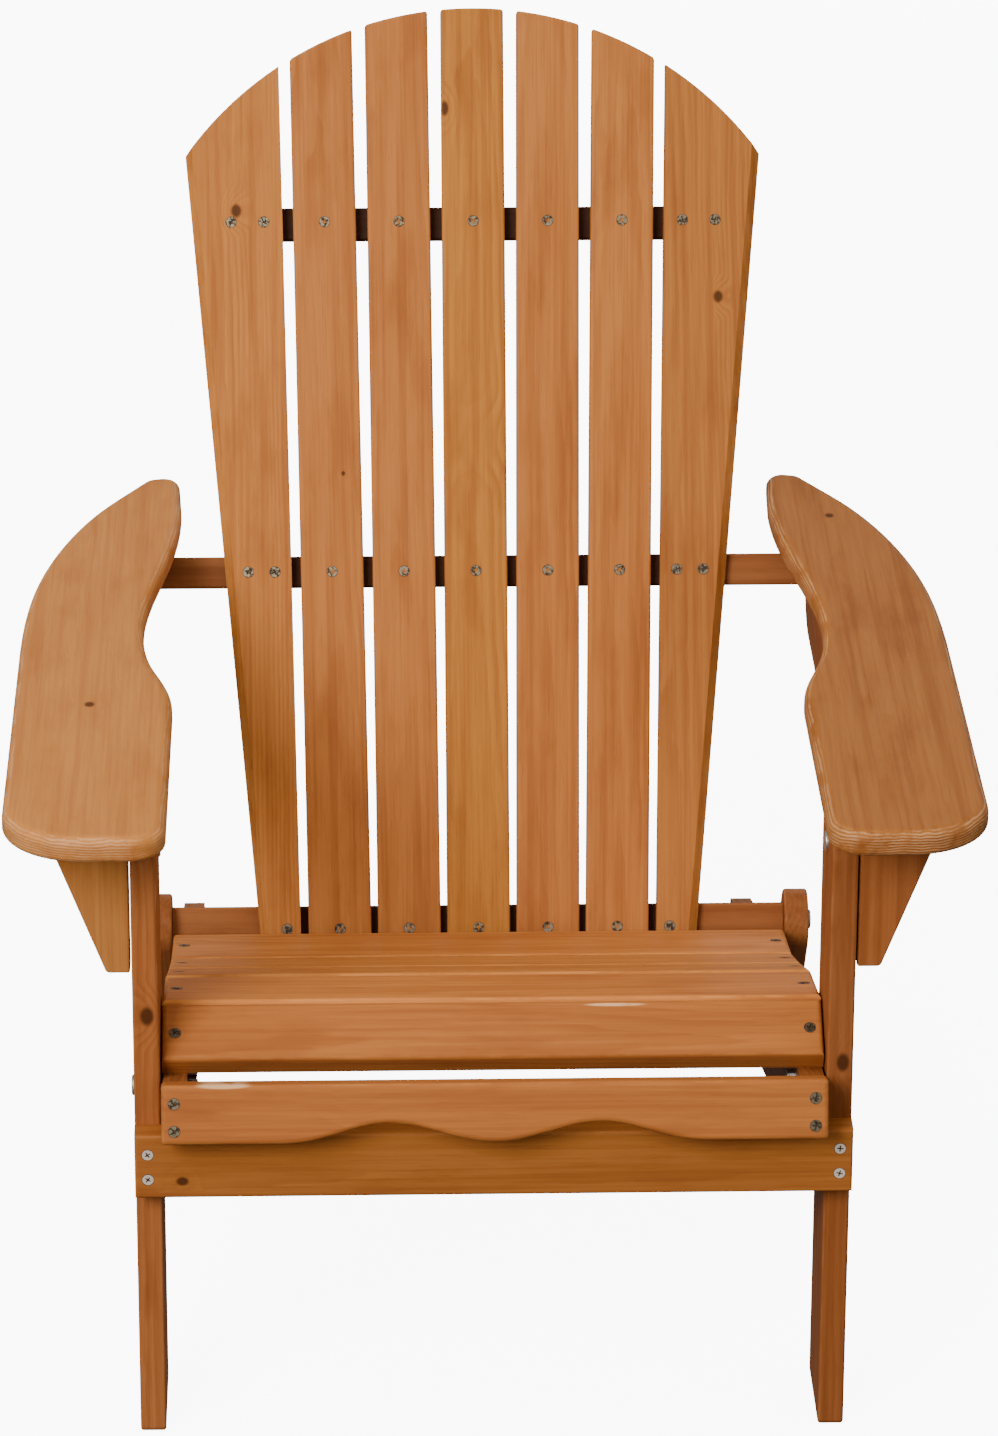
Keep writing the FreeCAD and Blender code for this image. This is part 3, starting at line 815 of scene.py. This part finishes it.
@dataclass(frozen=True)
class ScrewRow:
    """Cross-head screws that take the place of one CAD node.

    Attributes:
        node: The CAD node that they stand for.
        body: The body that they ride on.
        finish: Their plating.
        slot: The record's material slot; not used.
        head: Radius of the head.
        shank: Radius of the shank.
        sink: Depth of the countersink.
        length: Length of the screw.
        proud: How far the head stands out of the wood.
        recess_long: Length of the cross recess.
        recess_wide: Width of its arms.
        recess_deep: Depth of its arms.
        pit_deep: Depth at its middle.
        rim: Radius of the bead of painted shade round the head.
        rim_out: How far outside the head the bead's middle runs.
    """

    node: str
    body: str
    finish: MetalFinish
    slot: str
    length: float
    head: float = 4.25 * MM
    shank: float = 2.0 * MM
    sink: float = 2.6 * MM
    proud: float = 0.12 * MM
    recess_long: float = 4.9 * MM
    recess_wide: float = 0.95 * MM
    recess_deep: float = 1.3 * MM
    pit_deep: float = 1.7 * MM
    rim: float = 0.36 * MM
    rim_out: float = 0.22 * MM

    def build(self, shop: Workshop) -> bpy.types.Object:
        """Make the screws, seat them, and hide the node that they replace.

        Args:
            shop: The workshop.

        Returns:
            The piece.
        """
        seats = [Seat.of(points) for points in islands(shop.nodes[self.node])]
        if shop.recess_shade is None:
            shop.recess_shade = recess_shade_material()
        piece = self._pattern(shop).run(self.node + "_driven", self._marks(seats))
        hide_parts(self.node)
        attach(piece, self.body)
        log.info("screws %s: %d driven", self.node, len(seats))
        return piece

    def _marks(self, seats: Sequence[Seat]) -> bpy.types.Mesh:
        """One point for each screw, with the direction that its head faces."""
        mesh = bpy.data.meshes.new(self.node + "_marks")
        mesh.from_pydata([seat.head for seat in seats], [], [])
        out = mesh.attributes.new("out", "FLOAT_VECTOR", "POINT")
        out.data.foreach_set("vector", [part for seat in seats for part in seat.out])
        return mesh

    def _pattern(self, shop: Workshop) -> Pattern:
        """The tree that puts a turned screw on every mark."""
        pattern = Pattern(self.node + "_pattern")
        bench = pattern.bench
        head = pattern.size("Head Radius", self.head)
        shank = pattern.size("Shank Radius", self.shank)
        sink = pattern.size("Sink", self.sink)
        length = pattern.size("Length", self.length)
        slot_long = pattern.size("Recess Length", self.recess_long)
        slot_wide = pattern.size("Recess Width", self.recess_wide)
        seed = pattern.size("Seed", SEED)
        cone = bench.add("GeometryNodeMeshCone", {}, Vertices=28, Radius_Top=head,
                         Radius_Bottom=shank, Depth=sink, out="Mesh")
        cone = self._lift(bench, cone, sink * -1.0 + self.proud)
        # The cross recess and its pit are cut with dark cutters, so their walls carry painted shade.
        blades = []
        for size in ((slot_long, slot_wide), (slot_wide, slot_long)):
            blade = bench.add("GeometryNodeMeshCube", {}, bench.xyz(*size, 2 * self.recess_deep),
                              2, 2, 2, out="Mesh")
            blades.append(self._paint(bench, blade, shop.recess_shade))
        pit = bench.add("GeometryNodeMeshCylinder", {}, Vertices=8, Radius=self.recess_wide,
                        Depth=2 * self.pit_deep, out="Mesh")
        pit = self._paint(bench, pit, shop.recess_shade)
        cone = self._paint(bench, cone, shop.metal(self.finish))
        solid = self._carve(bench, cone, blades + [pit])
        stem = bench.add("GeometryNodeMeshCylinder", {}, Vertices=12, Radius=shank,
                         Depth=length - sink, out="Mesh")
        stem = self._lift(bench, stem, (length + sink) * -0.5)
        stem = self._paint(bench, stem, shop.metal(self.finish))
        screw = self._join(bench, [solid, stem, self._rim(bench, head, shop)])
        out = bench.add("GeometryNodeInputNamedAttribute", {"data_type": "FLOAT_VECTOR"},
                        Name="out", out="Attribute")
        aim = bench.add("FunctionNodeAlignRotationToVector", {"axis": "Z"}, Vector=out)
        turn = bench.add("FunctionNodeRandomValue", {"data_type": "FLOAT"}, Seed=seed,
                         out=1)
        spin = bench.add("FunctionNodeEulerToRotation", {}, bench.xyz(0.0, 0.0, turn * QUARTER_TURN))
        facing = bench.add("FunctionNodeRotateRotation", {"rotation_space": "LOCAL"}, aim, spin)
        spread = bench.add("GeometryNodeInstanceOnPoints", {}, Points=pattern.geometry(),
                           Instance=screw, Rotation=facing)
        pattern.finish(spread)
        return pattern

    def _rim(self, bench: Bench, head: Wire, shop: Workshop) -> Wire:
        """The thin rim of painted shade round the head."""
        loop = bench.add("GeometryNodeCurvePrimitiveCircle", {"mode": "RADIUS"}, Resolution=28,
                         Radius=head + self.rim_out)
        bead = bench.add("GeometryNodeCurvePrimitiveCircle", {"mode": "RADIUS"}, Resolution=6,
                         Radius=self.rim)
        rim = bench.add("GeometryNodeCurveToMesh", {}, loop, bead)
        rim = self._lift(bench, rim, -self.rim / 2)
        return self._paint(bench, rim, shop.recess_shade)

    @staticmethod
    def _lift(bench: Bench, shape: Wire, height: Any) -> Wire:
        """Move a shape along its own Z."""
        return bench.add("GeometryNodeTransform", {}, Geometry=shape,
                         Translation=bench.xyz(0.0, 0.0, height))

    @staticmethod
    def _paint(bench: Bench, shape: Wire, material: bpy.types.Material) -> Wire:
        """Give a shape a material."""
        return bench.add("GeometryNodeSetMaterial", {}, Geometry=shape, Material=material)

    @staticmethod
    def _join(bench: Bench, shapes: Sequence[Wire]) -> Wire:
        """Join shapes into one geometry."""
        node = bench.tree.nodes.new("GeometryNodeJoinGeometry")
        for shape in reversed(shapes):
            bench.tree.links.new(shape.socket, node.inputs[0])
        return Wire(bench, node.outputs[0])

    @staticmethod
    def _carve(bench: Bench, solid: Wire, cutters: Sequence[Wire]) -> Wire:
        """The solid less the cutters."""
        node = bench.tree.nodes.new("GeometryNodeMeshBoolean")
        node.operation = "DIFFERENCE"
        node.solver = "EXACT"
        bench.tree.links.new(solid.socket, node.inputs["Mesh 1"])
        for cutter in cutters:
            bench.tree.links.new(cutter.socket, node.inputs["Mesh 2"])
        return Wire(bench, node.outputs["Mesh"])


# --------------------------------------------------------------------- sub-assemblies
def wood(stain: Stain, shift: float, *marks: Mark, grain: Grain = Grain(),
         rub: float = 0.6) -> BoardFinish:
    """A board's finish in one line.

    Args:
        stain: Its tones.
        shift: Where in the endless wood it was sawn.
        *marks: Its knots and scuffs.
        grain: Its growth rings.
        rub: How worn its edges are.

    Returns:
        The finish.
    """
    return BoardFinish(stain, grain, tuple(marks), rub, shift)


SOFT_ARCHES = Grain(ring=3.4 * MM, taper=0.016, strength=0.34)
FINE_LINES = Grain(ring=3.0 * MM, pith_across=38 * MM, pith_under=40 * MM, taper=0.006,
                   strength=0.30)
FLOWING = Grain(ring=4.2 * MM, pith_across=-8 * MM, pith_under=22 * MM, taper=0.014,
                strength=0.28)
PLAIN = Grain(ring=2.7 * MM, pith_across=5 * MM, pith_under=44 * MM, taper=0.006,
              strength=0.07)


@dataclass
class SeatFrame:
    """The stringers, seat slats and apron.

    Attributes:
        slopes: Slope of each flat slat from front to back, in degrees down to the back.
        nose_slope: Tip of the nose slat, in degrees down to the front.
        stringer_slope: Slope of the stringers, in degrees down to the back.
    """

    slopes: tuple[float, ...] = (14.0, 22.0, 20.5, 13.0)
    nose_slope: float = 33.4
    stringer_slope: float = 18.0

    def build(self, shop: Workshop) -> None:
        """Dress the seat's boards and drive its screws.

        Args:
            shop: The workshop.
        """
        scratch = Mark(0.094, 0.0243, 0.0015, MarkKind.SCUFF, slim=15.0)
        nose = wood(AMBER.shaded(0.98), 0.31, scratch, grain=FLOWING)
        shop.dress("nose_slat", nose, ACROSS_CHAIR, in_side_view(90 + self.nose_slope))
        for number, slope in enumerate(self.slopes, 1):
            slat = wood(HONEY.shaded(1.18 + 0.05 * (number % 2)), 1.7 * number,
                        grain=(SOFT_ARCHES, FLOWING)[number % 2], rub=0.9)
            shop.dress(f"seat_slat_{number}", slat, ACROSS_CHAIR, in_side_view(90 - slope))
        chip = Mark(-0.205, 0.0222, 0.0022, MarkKind.SCUFF, slim=9.0)
        apron = wood(AMBER, 2.9, chip, Mark(-0.105, 0.004, 0.006, MarkKind.SWIRL),
                     Mark(0.012, 0.002, 0.005, MarkKind.SWIRL), grain=FLOWING, rub=0.75)
        shop.dress("apron", apron, ACROSS_CHAIR, in_side_view(180 - self.stringer_slope))
        for number, side in enumerate(("right", "left")):
            stringer = wood(RUSSET, 5.3 + number)
            shop.dress(side + "_seat_stringer", stringer, in_side_view(-self.stringer_slope),
                       ACROSS_CHAIR * (1 - 2 * number))
        shop.plate(DULL_ZINC, "leg_pivot_bolts", "leg_pivot_nuts", "leg_pivot_washers",
                   "link_pivot_bolts", "link_pivot_nuts", "link_pivot_washers")
        ScrewRow("seat_slat_screws", "seat_frame", YELLOW_ZINC, "dark_screw", 40 * MM).build(shop)
        ScrewRow("apron_screws", "seat_frame", YELLOW_ZINC, "dark_screw", 45 * MM).build(shop)


@dataclass
class FrontLegs:
    """The two legs and the stretcher between them.

    Attributes:
        right: Finish of the right leg.
        left: Finish of the left leg.
        stretcher: Finish of the stretcher.
    """

    # The left leg's stain is lighter than the right's, partly its own tone and partly painted light
    # falling from the left.
    right: BoardFinish = wood(RUSSET, 7.7,
                              Mark(0.052, 0.046, 0.0055, deep=2 * MM, slim=1.6))
    left: BoardFinish = wood(RUSSET.shaded(1.32), 8.9,
                             Mark(0.096, -0.046, 0.0060, deep=-1 * MM, slim=1.5))
    stretcher: BoardFinish = wood(AMBER.shaded(0.90), 4.4, Mark(-0.237, -0.012, 0.0042),
                                  grain=FLOWING)

    def build(self, shop: Workshop) -> None:
        """Dress the legs and the stretcher and drive its screws.

        Args:
            shop: The workshop.
        """
        shop.dress("right_front_leg", self.right, UP, ACROSS_CHAIR)
        shop.dress("left_front_leg", self.left, UP, -ACROSS_CHAIR)
        shop.dress("front_stretcher", self.stretcher, ACROSS_CHAIR, FORWARD)
        shop.plate(DULL_ZINC, "arm_pivot_bolts")
        ScrewRow("stretcher_screws", "front_legs", BRIGHT_ZINC, "bright_screw",
                 45 * MM).build(shop)


@dataclass
class Back:
    """The fan of slats on three rails, and the links that it folds on.

    Attributes:
        recline: Lean of the back from upright, in degrees.
        link_slope: Slope of the links, in degrees down to the back.
        count: How many inner slats there are.
        slat_width: Width of an inner slat.
        slat_thick: Its thickness.
        slat_pitch: From slat to slat at the pivots of the back.
        fan: How much the pitch grows with each unit of height.
        crown_centre: Height of the round crown's centre along the back.
        crown_radius: Its radius.
        foot: Where the slats start along the back.
        face: How far their faces stand in front of the pivots.
        knots: Marks on the inner slats, by their place on the back.
        eased: Bevel of their edges.
        bottom_reach: Half width of the fan at the bottom rail.
        middle_reach: Half width of the fan at the middle rail.
        top_reach: Half width of the fan at the top rail.
    """

    recline: float = 23.0
    link_slope: float = 51.9
    count: int = 5
    slat_width: float = 52 * MM
    slat_thick: float = 15 * MM
    slat_pitch: float = 57.3 * MM
    fan: float = 0.0072
    crown_centre: float = 463 * MM
    crown_radius: float = 293 * MM
    foot: float = -20 * MM
    face: float = 23.5 * MM
    knots: tuple[Mark, ...] = (Mark(0.673, -0.0232, 0.0040, slim=1.8),
                               Mark(0.400, 0.002, 0.011, MarkKind.SWIRL),
                               Mark(0.372, -0.109, 0.0018), Mark(0.309, 0.146, 0.0024, slim=1.8))
    eased: float = 2.2 * MM
    bottom_reach: float = 160 * MM
    middle_reach: float = 185 * MM
    top_reach: float = 215 * MM

    def build(self, shop: Workshop) -> None:
        """Dress the back's boards, lay the inner slats and drive the screws.

        Args:
            shop: The workshop.
        """
        up = in_side_view(90 - self.recline)
        out = in_side_view(180 - self.recline)
        # Slat 1 on the left is made lighter and slat 7 on the right darker: painted light and
        # painted shade.
        outer = {"back_slat_1": wood(HONEY.shaded(1.08), 11.0, Mark(0.245, 0.0037, 0.0050),
                                     grain=FINE_LINES),
                 "back_slat_7": wood(HONEY.shaded(0.92), 17.0, Mark(0.172, -0.010, 0.0045),
                                     grain=FINE_LINES)}
        for node, finish in outer.items():
            shop.dress(node, finish, up, out)
        # The rails' stains are scaled 1.05, 0.96 and 0.80 from bottom to top: the top rail is
        # darkened with painted shadow.
        for node, shade, reach in (("bottom_back_rail", 1.05, self.bottom_reach),
                                   ("middle_back_rail", 0.96, self.middle_reach),
                                   ("top_back_rail", 0.80, self.top_reach)):
            # The rail's middle stretch, behind the slats, gets painted shade.
            rail = replace(wood(RUSSET.shaded(shade), 21 + shade * 3), slat_shade_reach=reach)
            shop.dress(node, rail, ACROSS_CHAIR, out)
        for number, side in enumerate(("right", "left")):
            link = wood(RUSSET.shaded(1.05), 31.0 + number)
            shop.dress(side + "_back_link", link, in_side_view(-self.link_slope),
                       ACROSS_CHAIR * (1 - 2 * number))
        shop.plate(DULL_ZINC, "back_foot_bolts", "back_arm_bolts")
        self._lay_slats(shop.pivots["back_fold"], up, out)
        for name in ("bottom", "middle", "top"):
            ScrewRow(name + "_rail_screws", "back", YELLOW_ZINC, "dark_screw",
                     30 * MM).build(shop)

    def _lay_slats(self, pivot: Vector, up: Vector, out: Vector) -> None:
        """Make the inner slats in place of the CAD ones.

        Args:
            pivot: The back's lower pivot.
            up: Direction up the back.
            out: Direction out of its face.
        """
        finish = replace(wood(HONEY, 0.0, *self.knots, grain=SOFT_ARCHES),
                         golden=self.slat_width / 2)
        axes = board_axes(up, out)
        material = finish.material("wood_inner_slats", axes, Vector(), laid=True)
        piece = self._slat_pattern(material, pivot).run(
            "inner_back_slats", bpy.data.meshes.new("slat_start"), bevel=self.eased)
        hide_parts(*(f"back_slat_{number}" for number in range(2, 7)))
        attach(piece, "back")
        log.info("slats: %d laid in a fan", self.count)

    def _slat_pattern(self, material: bpy.types.Material, pivot: Vector) -> Pattern:
        """The tree that lays flat-footed slats in a fan, cut to a round crown."""
        pattern = Pattern("slat_fan")
        bench = pattern.bench
        sizes = {"Count": self.count, "Width": self.slat_width, "Thickness": self.slat_thick,
                 "Pitch": self.slat_pitch, "Fan": self.fan, "Foot": self.foot,
                 "Crown Centre": self.crown_centre, "Crown Radius": self.crown_radius,
                 "Seed": SEED}
        count, width, thick, pitch, fan, foot, centre, radius, seed = (
            pattern.size(name, value) for name, value in sizes.items())
        boards = self._blanks(bench, count, bench.xyz(width, 1.0, thick), seed)
        step = self._read(bench, "number") - (count - 1) * 0.5
        place = bench.add("GeometryNodeInputPosition", {})
        across, rise, through = place.parts()
        share = rise + 0.5
        height = centre + radius
        for _ in range(CROWN_STEPS):
            at_top = step * (pitch + fan * height) + across
            height = centre + (radius * radius - at_top * at_top).root()
        along = foot + share * (height - foot)
        moved = bench.xyz(step * (pitch + fan * along) + across, along,
                          through + (self.face - self.slat_thick / 2))
        boards = bench.add("GeometryNodeSetPosition", {}, Geometry=boards, Position=moved)
        own_across = across - step * (pitch + fan * rise)
        luck = self._read(bench, "luck")
        sawn = bench.xyz(rise + luck * 7.0 + step * 1.3, own_across + luck * (16 * MM), through)
        for name, value in (("sawn", sawn), ("laid", bench.xyz(rise, across, through))):
            boards = bench.add("GeometryNodeStoreNamedAttribute",
                               {"data_type": "FLOAT_VECTOR", "domain": "POINT"},
                               Geometry=boards, Name=name, Value=value)
        boards = bench.add("GeometryNodeTransform", {}, Geometry=boards,
                           Translation=pivot,
                           Rotation=Euler((math.radians(90 - self.recline), 0, 0)))
        boards = bench.add("GeometryNodeSetShadeSmooth", {}, Geometry=boards)
        pattern.finish(bench.add("GeometryNodeSetMaterial", {}, Geometry=boards,
                                 Material=material))
        return pattern

    @staticmethod
    def _blanks(bench: Bench, count: Wire, size: Wire, seed: Wire) -> Wire:
        """Blank boards, each with its number and a random number of its own."""
        blank = bench.add("GeometryNodeMeshCube", {}, size, *BLANK_CUTS, out="Mesh")
        spots = bench.add("GeometryNodeMeshLine", {"mode": "OFFSET"}, Count=count,
                          Offset=bench.xyz(0.0, 0.0, 0.0))
        spread = bench.add("GeometryNodeInstanceOnPoints", {}, Points=spots, Instance=blank)
        number = bench.add("GeometryNodeInputIndex", {})
        luck = bench.add("FunctionNodeRandomValue", {"data_type": "FLOAT"}, Seed=seed, out=1)
        for name, value in (("number", number), ("luck", luck)):
            spread = bench.add("GeometryNodeStoreNamedAttribute",
                               {"data_type": "FLOAT", "domain": "INSTANCE"},
                               Geometry=spread, Name=name, Value=value)
        return bench.add("GeometryNodeRealizeInstances", {}, spread)

    @staticmethod
    def _read(bench: Bench, name: str) -> Wire:
        """Read a stored number."""
        return bench.add("GeometryNodeInputNamedAttribute", {"data_type": "FLOAT"}, Name=name,
                         out="Attribute")


@dataclass
class Arm:
    """One paddle arm with its rail and bracket.

    Attributes:
        side: right or left.
        top: Finish of the arm board.
        under: Finish of the rail.
        bracket: Finish of the bracket.
    """

    side: str
    top: BoardFinish
    under: BoardFinish
    bracket: BoardFinish

    def build(self, shop: Workshop) -> None:
        """Dress the arm's boards and fasteners.

        Args:
            shop: The workshop.
        """
        out = ACROSS_CHAIR if self.side == "right" else -ACROSS_CHAIR
        back = -FORWARD
        shop.dress(self.side + "_arm_board", self.top, back, UP)
        shop.dress(self.side + "_arm_rail", self.under, back, out)
        shop.dress(self.side + "_arm_bracket", self.bracket, UP, FORWARD)
        shop.dress(self.side + "_arm_dowels", wood(TAN.shaded(1.2), 3.0), UP, FORWARD)
        shop.plate(DULL_ZINC, *(f"{self.side}_arm_pivot_{part}"
                                for part in ("stud", "nut", "washer")))


# --------------------------------------------------------------------- the studio
@dataclass
class Studio:
    """Floor, light and camera.

    Attributes:
        lens: Focal length in millimetres on a 36 mm film side.
        eye: Where the camera stands.
        pitch: How far it looks down, in degrees.
        yaw: How far it looks to the right, in degrees.
        roll: Its roll, in degrees.
        floor_half: Half width of the floor.
        sky: Strength of the even light from above.
        under: Strength of the even light from below.
        glow: How brightly the floor itself shows, as a lit studio table does.
        lamps: Name, place, size and power of each soft lamp.
    """

    lens: float = 161.05
    eye: Triple = (-0.130, -4.736, 2.461)
    pitch: float = 23.0
    yaw: float = 1.736
    roll: float = 0.232
    floor_half: float = 14.0
    sky: float = 0.50
    under: float = 0.12
    glow: float = 9.0
    lamps: tuple[tuple[str, Triple, float, float], ...] = (
        ("key", (-2.3, -4.0, 3.1), 2.2, 305.0),
        ("fill", (3.2, -3.2, 2.2), 2.8, 35.0),
        ("top", (-0.4, -0.4, 4.2), 3.2, 85.0),
        ("back", (0.9, 4.4, 1.3), 2.4, 75.0))

    def build(self) -> None:
        """Set the studio up."""
        self._floor()
        self._sky()
        for name, place, size, power in self.lamps:
            self._lamp(name, Vector(place), size, power)
        self._camera()
        log.info("studio: ready")

    def _floor(self) -> None:
        """A wide pale floor."""
        half = self.floor_half
        mesh = bpy.data.meshes.new("floor")
        mesh.from_pydata([(-half, -half, 0), (half, -half, 0), (half, half, 0), (-half, half, 0)],
                         [], [(0, 1, 2, 3)])
        floor = bpy.data.objects.new("floor", mesh)
        bpy.context.scene.collection.objects.link(floor)
        paint = bpy.data.materials.new("floor_paint")
        paint.use_nodes = True
        shader = paint.node_tree.nodes["Principled BSDF"]
        shader.inputs["Base Color"].default_value = (0.93, 0.93, 0.92, 1)
        shader.inputs["Roughness"].default_value = 0.9
        shader.inputs["Emission Color"].default_value = (1, 1, 1, 1)
        shader.inputs["Emission Strength"].default_value = self.glow
        mesh.materials.append(paint)
        floor.visible_diffuse = False
        floor.visible_glossy = False

    def _sky(self) -> None:
        """Even soft light from all round."""
        world = bpy.data.worlds.new("soft_room")
        world.use_nodes = True
        bench = Bench(world.node_tree)
        light = world.node_tree.nodes["Background"]
        light.inputs["Color"].default_value = (1.0, 0.99, 0.975, 1)
        height = bench.add("ShaderNodeTexCoord", {}, out="Generated").parts()[2]
        share = height.ease(-0.25, 0.12)
        bench.feed(light.inputs["Strength"], share * (self.sky - self.under) + self.under)
        bpy.context.scene.world = world

    def _lamp(self, name: str, place: Vector, size: float, power: float) -> None:
        """A square soft lamp turned to the seat; only the key shows as a gleam."""
        data = bpy.data.lights.new(name, "AREA")
        data.size = size
        data.energy = power
        lamp = bpy.data.objects.new(name, data)
        lamp.location = place
        lamp.visible_glossy = name == "key"
        lamp.rotation_euler = (Vector((0, 0, 0.45)) - place).to_track_quat("-Z", "Y").to_euler()
        bpy.context.scene.collection.objects.link(lamp)

    def _camera(self) -> None:
        """The camera in front of the chair, looking down on it."""
        data = bpy.data.cameras.new("view")
        data.lens = self.lens
        data.sensor_width = 36.0
        data.clip_end = 60.0
        camera = bpy.data.objects.new("view", data)
        turn = (Matrix.Rotation(math.radians(-self.yaw), 3, "Z")
                @ Matrix.Rotation(math.radians(90 - self.pitch), 3, "X")
                @ Matrix.Rotation(math.radians(self.roll), 3, "Z"))
        camera.matrix_world = Matrix.Translation(self.eye) @ turn.to_4x4()
        bpy.context.scene.collection.objects.link(camera)
        bpy.context.scene.camera = camera


def main() -> None:
    """Build the chair's looks round the frame."""
    logging.basicConfig(level=logging.INFO, format="%(message)s")
    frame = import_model()
    pivots = {joint["name"]: Vector(joint["pos_m"]) for joint in frame["joints"]}
    shop = Workshop(frame["nodes"], pivots)
    SeatFrame().build(shop)
    FrontLegs().build(shop)
    Back().build(shop)
    right_knot, left_knot = Mark(0.27, 0.013, 0.0042), Mark(-0.119, 0.002, 0.0045)
    # The left arm board is lighter than the right partly by its own tone and partly by painted light
    # from the left.
    right_top = replace(wood(HONEY.shaded(0.70), 41.0, right_knot, grain=PLAIN, rub=0.4),
                        etched=ARM_ETCHING)
    left_top = replace(wood(TAN.shaded(1.06), 43.5, left_knot, grain=PLAIN, rub=0.4),
                       etched=ARM_ETCHING)
    Arm("right", right_top, wood(RUSSET, 45.0), wood(RUSSET.shaded(1.18), 46.0)).build(shop)
    Arm("left", left_top, wood(RUSSET, 47.0), wood(TAN, 48.0)).build(shop)
    Studio().build()


if __name__ == "__main__":
    main()
